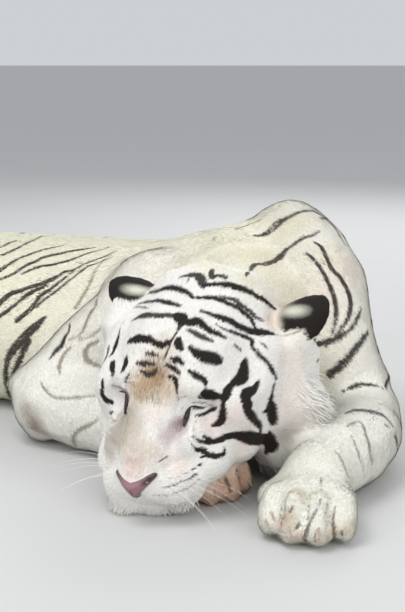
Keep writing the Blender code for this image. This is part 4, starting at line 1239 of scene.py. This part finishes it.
def unwrapped(obj):
    """Unwraps the skin's own shape into a map of its pieces, one place for each corner of each face."""
    obj.data.uv_layers.new(name="OFBake")
    bpy.context.view_layer.objects.active = obj
    obj.select_set(True)
    bpy.ops.object.mode_set(mode="EDIT")
    bpy.ops.mesh.select_all(action="SELECT")
    bpy.ops.uv.smart_project(angle_limit=math.radians(66), island_margin=0.004)
    bpy.ops.object.mode_set(mode="OBJECT")
    obj.select_set(False)
    flat = np.empty(len(obj.data.loops) * 2)
    obj.data.uv_layers["OFBake"].uv.foreach_get("vector", flat)
    return flat.reshape(-1, 2)


class Pelt:
    """The skin as ground for hair: its corners, its map, and what is known at each of its vertices."""

    def __init__(self, skin, points, normals, lies, part, pairs, ground, stripes, finish):
        flat = unwrapped(skin)
        mesh = skin.data
        mesh.calc_loop_triangles()
        corners = np.empty(len(mesh.loop_triangles) * 3, np.int32)
        mesh.loop_triangles.foreach_get("vertices", corners)
        loops = np.empty(len(mesh.loop_triangles) * 3, np.int32)
        mesh.loop_triangles.foreach_get("loops", loops)
        self.corners = corners.reshape(-1, 3)
        self.maps = flat[loops.reshape(-1, 3)]
        self.points, self.normals, self.lies = points, normals, lies
        self.ground, self.stripes, self.finish = ground, stripes, finish
        self.figures = averaged(np.array([COAT[kind_of(name)] for name in FLESH])[part], pairs, 6)
        self.ribbed = np.array([kind_of(name) in RIBBED for name in FLESH])[part][self.corners[:, 0]]
        self.on_head = np.array([kind_of(name) == "head" for name in FLESH])[part][self.corners[:, 0]]
        a, b, c = (points[self.corners[:, k]] for k in range(3))
        self.area = np.linalg.norm(np.cross(b - a, c - a), axis=1) * 0.5e4
        self.middle = (a + b + c) / 3
        self.pieces = 0

    def sow(self, per_cm2, lifts, longer=1.0, wider=1.0, aim=None, swing=0.16, rows=0, most=MOST_LEAVES):
        """Tufts over the skin at so many to the cm2 of each face, laid along the coat or towards an aim."""
        count = chance.poisson(self.area * per_cm2)
        face = np.repeat(np.arange(len(count)), count)
        u = chance.random((len(face), 2))
        over = u.sum(1) > 1
        u[over] = 1 - u[over]
        weights = np.column_stack((1 - u.sum(1), u))[:, :, None]

        def at_root(values):
            return (values[self.corners[face]] * weights).sum(1)

        roots = at_root(self.points)
        up = at_root(self.normals)
        up /= np.linalg.norm(up, axis=1)[:, None]
        way = at_root(self.lies) if aim is None else flattened(np.array([aim] * len(face)), up)
        way = flattened(way, up)
        turn = chance.normal(0, swing, len(face))[:, None]
        way = way * np.cos(turn) + np.cross(up, way) * np.sin(turn)
        figure = at_root(self.figures)
        length = figure[:, TUFT_LENGTH] / 1000 * longer * chance.uniform(0.7, 1.25, len(face))
        width = figure[:, TUFT_WIDTH] / 1000 * wider * chance.uniform(0.8, 1.2, len(face))
        lift = chance.uniform(*lifts, len(face))
        spots = (self.maps[face] * weights).sum(1)
        tone = at_root(self.ground)
        shade = chance.normal(1.0, 0.06, len(face))[:, None].clip(0.82, 1.16)
        hues = painted(roots + way * (length * 0.30)[:, None], tone, self.stripes, 0.0002) * shade
        tips = painted(roots + way * (length * 0.85)[:, None], tone, self.stripes, 0.0002) * shade
        order = np.argsort(roots @ np.array((0.8, -0.6, 0.0)), kind="stable")
        for first in range(0, len(face), most):
            some = order[first : first + most]
            self.pieces += 1
            tufts(
                f"coat_{self.pieces}",
                leaf_points(roots[some], up[some], way[some], length[some], width[some], lift[some], rows),
                leaf_faces(len(some), rows),
                hues[some].clip(0, 1),
                tips[some].clip(0, 1),
                leaf_patches(spots[some], rows),
                self.finish,
            )


def grow_coat(pelt, bare):
    """The whole coat: flat fur on the body, ribbed tufts on the head and feet, long hair on the ruff."""
    thick = pelt.figures[pelt.corners].mean(1)[:, TUFTS_TO_CM2]
    thick[pelt.middle[:, 2] < UNDERSIDE] *= 0.05
    thick[bare] = 0
    pelt.sow(np.where(pelt.ribbed, 0, thick), (0.04, 0.13))
    pelt.sow(np.where(pelt.ribbed, thick, 0), (0.06, 0.17), rows=1, most=MOST_RIBBED)
    for spot, reach, aim, per_cm2, longer, lifts in FRINGES:
        far = np.linalg.norm(pelt.middle - np.array(untwisted(spot)), axis=1)
        want = per_cm2 * np.clip(1.4 - 1.4 * far / reach, 0, 1)
        want[bare | ~pelt.on_head] = 0
        fall = HEAD.to_3x3() @ Vector(aim)
        pelt.sow(want * FRINGE_PLENTY, lifts, longer, FRINGE_WIDTH, fall, FRINGE_SWING, rows=2)


# ---- small pieces of the face ------------------------------------------------------------------
def strand(bm, path, sides):
    """A closed tapered strand through (place, radius) stops, a ring of sides at each."""
    rings = []
    for i, (spot, radius) in enumerate(path):
        along = (path[min(i + 1, len(path) - 1)][0] - path[max(i - 1, 0)][0]).normalized()
        place = Matrix.Translation(spot) @ along.to_track_quat("Z", "Y").to_matrix().to_4x4()
        made = bmesh.ops.create_circle(bm, segments=sides, radius=radius, matrix=place)
        rings.append(list(dict.fromkeys(edge for vert in made["verts"] for edge in vert.link_edges)))
    for one, two in zip(rings, rings[1:]):
        bmesh.ops.bridge_loops(bm, edges=one + two)
    bmesh.ops.edgeloop_fill(bm, edges=rings[0])
    bmesh.ops.edgeloop_fill(bm, edges=rings[-1])


# the slit of a shut eye, laid like the stripes, and its line on beyond the outer corner
SLIT = ((4.6, -8.8), (4.45, -7.7), (4.5, -6.8), (4.75, -5.9))
OUTER_SLIT = ((4.7, -5.95), (5.3, -5.7), (6.6, -5.75))
# each rim: its line, how far it is sunk and how thick it is
RIMS = ((SLIT, 0.0006, 0.0046), (SLIT, -0.0016, 0.0034), (OUTER_SLIT, -0.0010, 0.0016))
WHISKER_RADIUS = 0.00030
NOSTRILS = (  # place in the level head on the left side, reach and depth
    ((0.0230, -0.342, 0.095), 0.0080, 0.0030),
    ((0.0290, -0.336, 0.097), 0.0095, 0.0025),
    ((0.0360, -0.330, 0.099), 0.0090, 0.0015),
)


def lids(surface, side, name, finish):
    """The bare rims of a shut eye, lying together along the slit, thin beyond its outer corner."""
    out = HEAD.to_3x3() @ Vector((side * 0.35, -0.55, 0.75)).normalized()
    bm = bmesh.new()
    for line, drop, thick in RIMS:
        spots = curved([(surface.on_face(side * across, along), 0.0) for across, along in line])
        count = len(spots) - 1
        path = []
        for i, (spot, _) in enumerate(spots):
            full = math.sin(math.pi * (0.08 + 0.84 * i / count)) ** 0.8
            path.append((spot - out * drop, thick * full))
        strand(bm, path, 10)
    bmesh.ops.recalc_face_normals(bm, faces=bm.faces[:])
    piece = object_of(name, bm, finish)
    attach(piece, "root")
    return piece


def nose_leather(finish):
    """The bare nose: a wide rounded wedge, narrow below, with a nostril sunk at each side and painted shade
    in the nostrils and the groove.
    """
    bm = bmesh.new()
    bmesh.ops.create_uvsphere(bm, u_segments=48, v_segments=32, radius=1)
    tone = bm.verts.layers.float_color.new("hue")
    tilt = Matrix.Translation((0, -0.331, 0.086)) @ Matrix.Rotation(math.radians(-12), 4, "X")
    for vert in bm.verts:
        x, y, z = vert.co
        width = 0.0435 * (0.64 + 0.36 * max(-1.0, min(1.0, z * 1.3)))
        rise = 0.0225 if z < 0 else 0.012 + 0.007 * min(1.0, abs(x) / 0.8) ** 1.4
        spot = tilt @ Vector((x * width, y * 0.0185 + 0.010 * x * x, z * rise + 0.004 * abs(x)))
        # shade is painted shade: near-black in the sunk nostrils, the tiger's right one half as dark, and
        # darker down the groove below
        shade = 1.0
        for where, reach, depth in NOSTRILS:
            far = (Vector((abs(spot.x), spot.y, spot.z)) - Vector(where)).length / reach
            if far < 1:
                spot.y += depth * (1 - far * far)
                shade = min(shade, 0.03 + 0.97 * far**2)
        groove = max(0.0, 1 - abs(spot.x) / 0.0016) if spot.z < 0.088 else 0.0
        spot.y += 0.0012 * groove
        vert.co = untwisted(spot)
        shade = shade if x > 0 else 0.5 + 0.5 * shade
        edge = max(0.0, min(1.0, (math.hypot(x, z) - 0.62) * 2.6))
        colour = Vector(NOSE_PINK).lerp(Vector(NOSE_RIM), edge) * shade * (1 - 0.5 * groove)
        vert[tone] = (*colour, 1.0)
    piece = object_of("nose_leather", bm, finish)
    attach(piece, "root")
    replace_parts(piece, "nose")
    return piece


def whiskers(surface, finish):
    """Long stiff hairs in rows from the whisker pads and a few over each eye."""
    bm = bmesh.new()
    for side in (1, -1):
        for across, along, length, spread, rise in WHISKERS:
            root = surface.on_face(side * across, along)
            if not root:
                continue
            aim = Vector((side * 0.9, spread, rise)) + Vector(chance.normal(0, 0.07, 3))
            aim = (HEAD.to_3x3() @ aim).normalized()
            path = []
            for k in range(9):
                t = k / 8
                sag = Vector((0, 0, -0.30 * length * t * t))
                spot = root + aim * (length * t - 0.003) + sag
                spot.z = max(spot.z, LOWEST_WHISKER)
                path.append((spot, WHISKER_RADIUS * (1 - 0.8 * t)))
            strand(bm, path, 5)
    bmesh.ops.recalc_face_normals(bm, faces=bm.faces[:])
    piece = object_of("whiskers", bm, finish)
    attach(piece, "root")


def plain_finishes():
    """Lid skin, nose leather, whisker hair and claw horn."""
    lid, shader, flow, place = finish_of("lid_skin", 0.5, Specular_IOR_Level=0.4)
    tone = mixed(flow, noise(flow, place, 300.0), (0.016, 0.010, 0.010, 1), (0.055, 0.032, 0.033, 1))
    flow.tree.links.new(tone.socket, shader.inputs["Base Color"])
    bump(flow, shader, noise(flow, place, 900.0), 0.3, 0.0005)
    leather, shader, flow, place = finish_of("leather", 0.42, Specular_IOR_Level=0.5)
    own_hue(flow, shader, noise(flow, place, 180.0) * 0.3 + 0.82)
    cells = flow.out(flow.node("ShaderNodeTexVoronoi", Vector=place, Scale=620.0), "Distance")
    bump(flow, shader, cells, 0.5, 0.0006)
    hair, shader, flow, place = finish_of("whisker_hair", 0.4, Specular_IOR_Level=0.4)
    tone = mixed(flow, noise(flow, place, 60.0), (0.78, 0.76, 0.70, 1), (0.88, 0.87, 0.84, 1))
    flow.tree.links.new(tone.socket, shader.inputs["Base Color"])
    horn, shader, flow, place = finish_of("claw_horn_fine", 0.35, Specular_IOR_Level=0.5)
    grain = noise(flow, place, 240.0)
    tone = mixed(flow, grain, (0.30, 0.22, 0.16, 1), (0.66, 0.58, 0.48, 1))
    flow.tree.links.new(tone.socket, shader.inputs["Base Color"])
    bump(flow, shader, grain, 0.2, 0.0006)
    return lid, leather, hair, horn


# ---- the studio --------------------------------------------------------------------------------
LAMPS = (  # name, place, size and watts
    ("key", (-1.0, -1.0, 3.0), 1.6, 44.0),
    ("fill", (1.3, -3.0, 1.5), 2.0, 34.0),
    ("left", (-2.2, -2.6, 1.0), 2.0, 19.0),
    ("rim", (0.8, 2.8, 2.2), 2.0, 45.0),
)


def studio():
    """A pale floor, soft light from above and the sides, and the camera."""
    scene = bpy.context.scene
    scene.view_settings.view_transform = "Standard"
    bm = bmesh.new()
    bmesh.ops.create_grid(bm, x_segments=1, y_segments=1, size=60.0)
    grey, shader, flow, place = finish_of("floor", 0.85)
    tone = mixed(flow, noise(flow, place, 3.0), (0.56, 0.56, 0.55, 1), (0.585, 0.585, 0.575, 1))
    flow.tree.links.new(tone.socket, shader.inputs["Base Color"])
    floor = object_of("floor", bm, grey)
    world = bpy.data.worlds.new("soft")
    world.use_nodes = True
    world.node_tree.nodes["Background"].inputs["Color"].default_value = (0.92, 0.95, 1.0, 1)
    world.node_tree.nodes["Background"].inputs["Strength"].default_value = 0.66
    scene.world = world
    aim = Vector((-0.15, -0.2, 0.15))
    for name, place, size, power in LAMPS:
        light = bpy.data.lights.new(name, "AREA")
        light.size = size
        light.energy = power
        lamp = bpy.data.objects.new(name, light)
        lamp.location = place
        lamp.rotation_euler = (aim - Vector(place)).to_track_quat("-Z", "Y").to_euler()
        scene.collection.objects.link(lamp)
    camera = bpy.data.cameras.new("camera")
    camera.sensor_width = 36.0
    camera.lens = 73.5
    eye = bpy.data.objects.new("camera", camera)
    eye.location = (0, -2.25, 0.66)
    eye.rotation_euler = (math.radians(90 - 11.5), 0, 0)
    scene.collection.objects.link(eye)
    scene.camera = eye


def painted_skin(bm, part, surface, stripes):
    """The skin with its colours, and what the coat needs to know of it."""
    points, normals, pairs = points_of(bm), normals_of(bm), pairs_of(bm)
    lies = lie_of_coat(points, normals, part, pairs)
    skin = object_of("skin", bm, skin_finish())
    hue = skin.data.attributes.new("hue", "FLOAT_COLOR", "POINT")
    tint = np.ones((len(points), 4))
    ground = ground_of(points, normals, part, pairs, tints_of(surface))
    tint[:, :3] = painted(points, ground, stripes, 0.0)
    hue.data.foreach_set("color", tint.reshape(-1))
    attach(skin, "root")
    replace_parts(skin, *FLESH)
    return Pelt(skin, points, normals, lies, part, pairs, ground, stripes, coat_finish())


def beside(piece, spots):
    """Which of these places the piece touches or all but touches."""
    mesh = piece.data
    tree = BVHTree.FromPolygons([v.co for v in mesh.vertices], [f.vertices for f in mesh.polygons])
    return np.array([tree.find_nearest(Vector(spot), TOUCH)[0] is not None for spot in spots])


def main():
    """Every piece in turn, and the studio round them."""
    lid, leather, hair, horn = plain_finishes()
    bm = skin_shape()
    part = sculpted(bm)
    surface = Surface(bm)
    stripes = drawn_stripes(surface) + unseen_stripes(surface) + list(toe_lines(surface))
    pelt = painted_skin(bm, part, surface, stripes)
    nose = nose_leather(leather)
    for side, name in ((1, "left"), (-1, "right")):
        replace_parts(lids(surface, side, f"lids_{name}", lid), f"eye_{name}")
    for name, node in NODES.items():
        if name.startswith("claw"):
            node.material_slots[0].material = horn
    grow_coat(pelt, beside(nose, pelt.middle))
    whiskers(surface, hair)
    studio()


main()
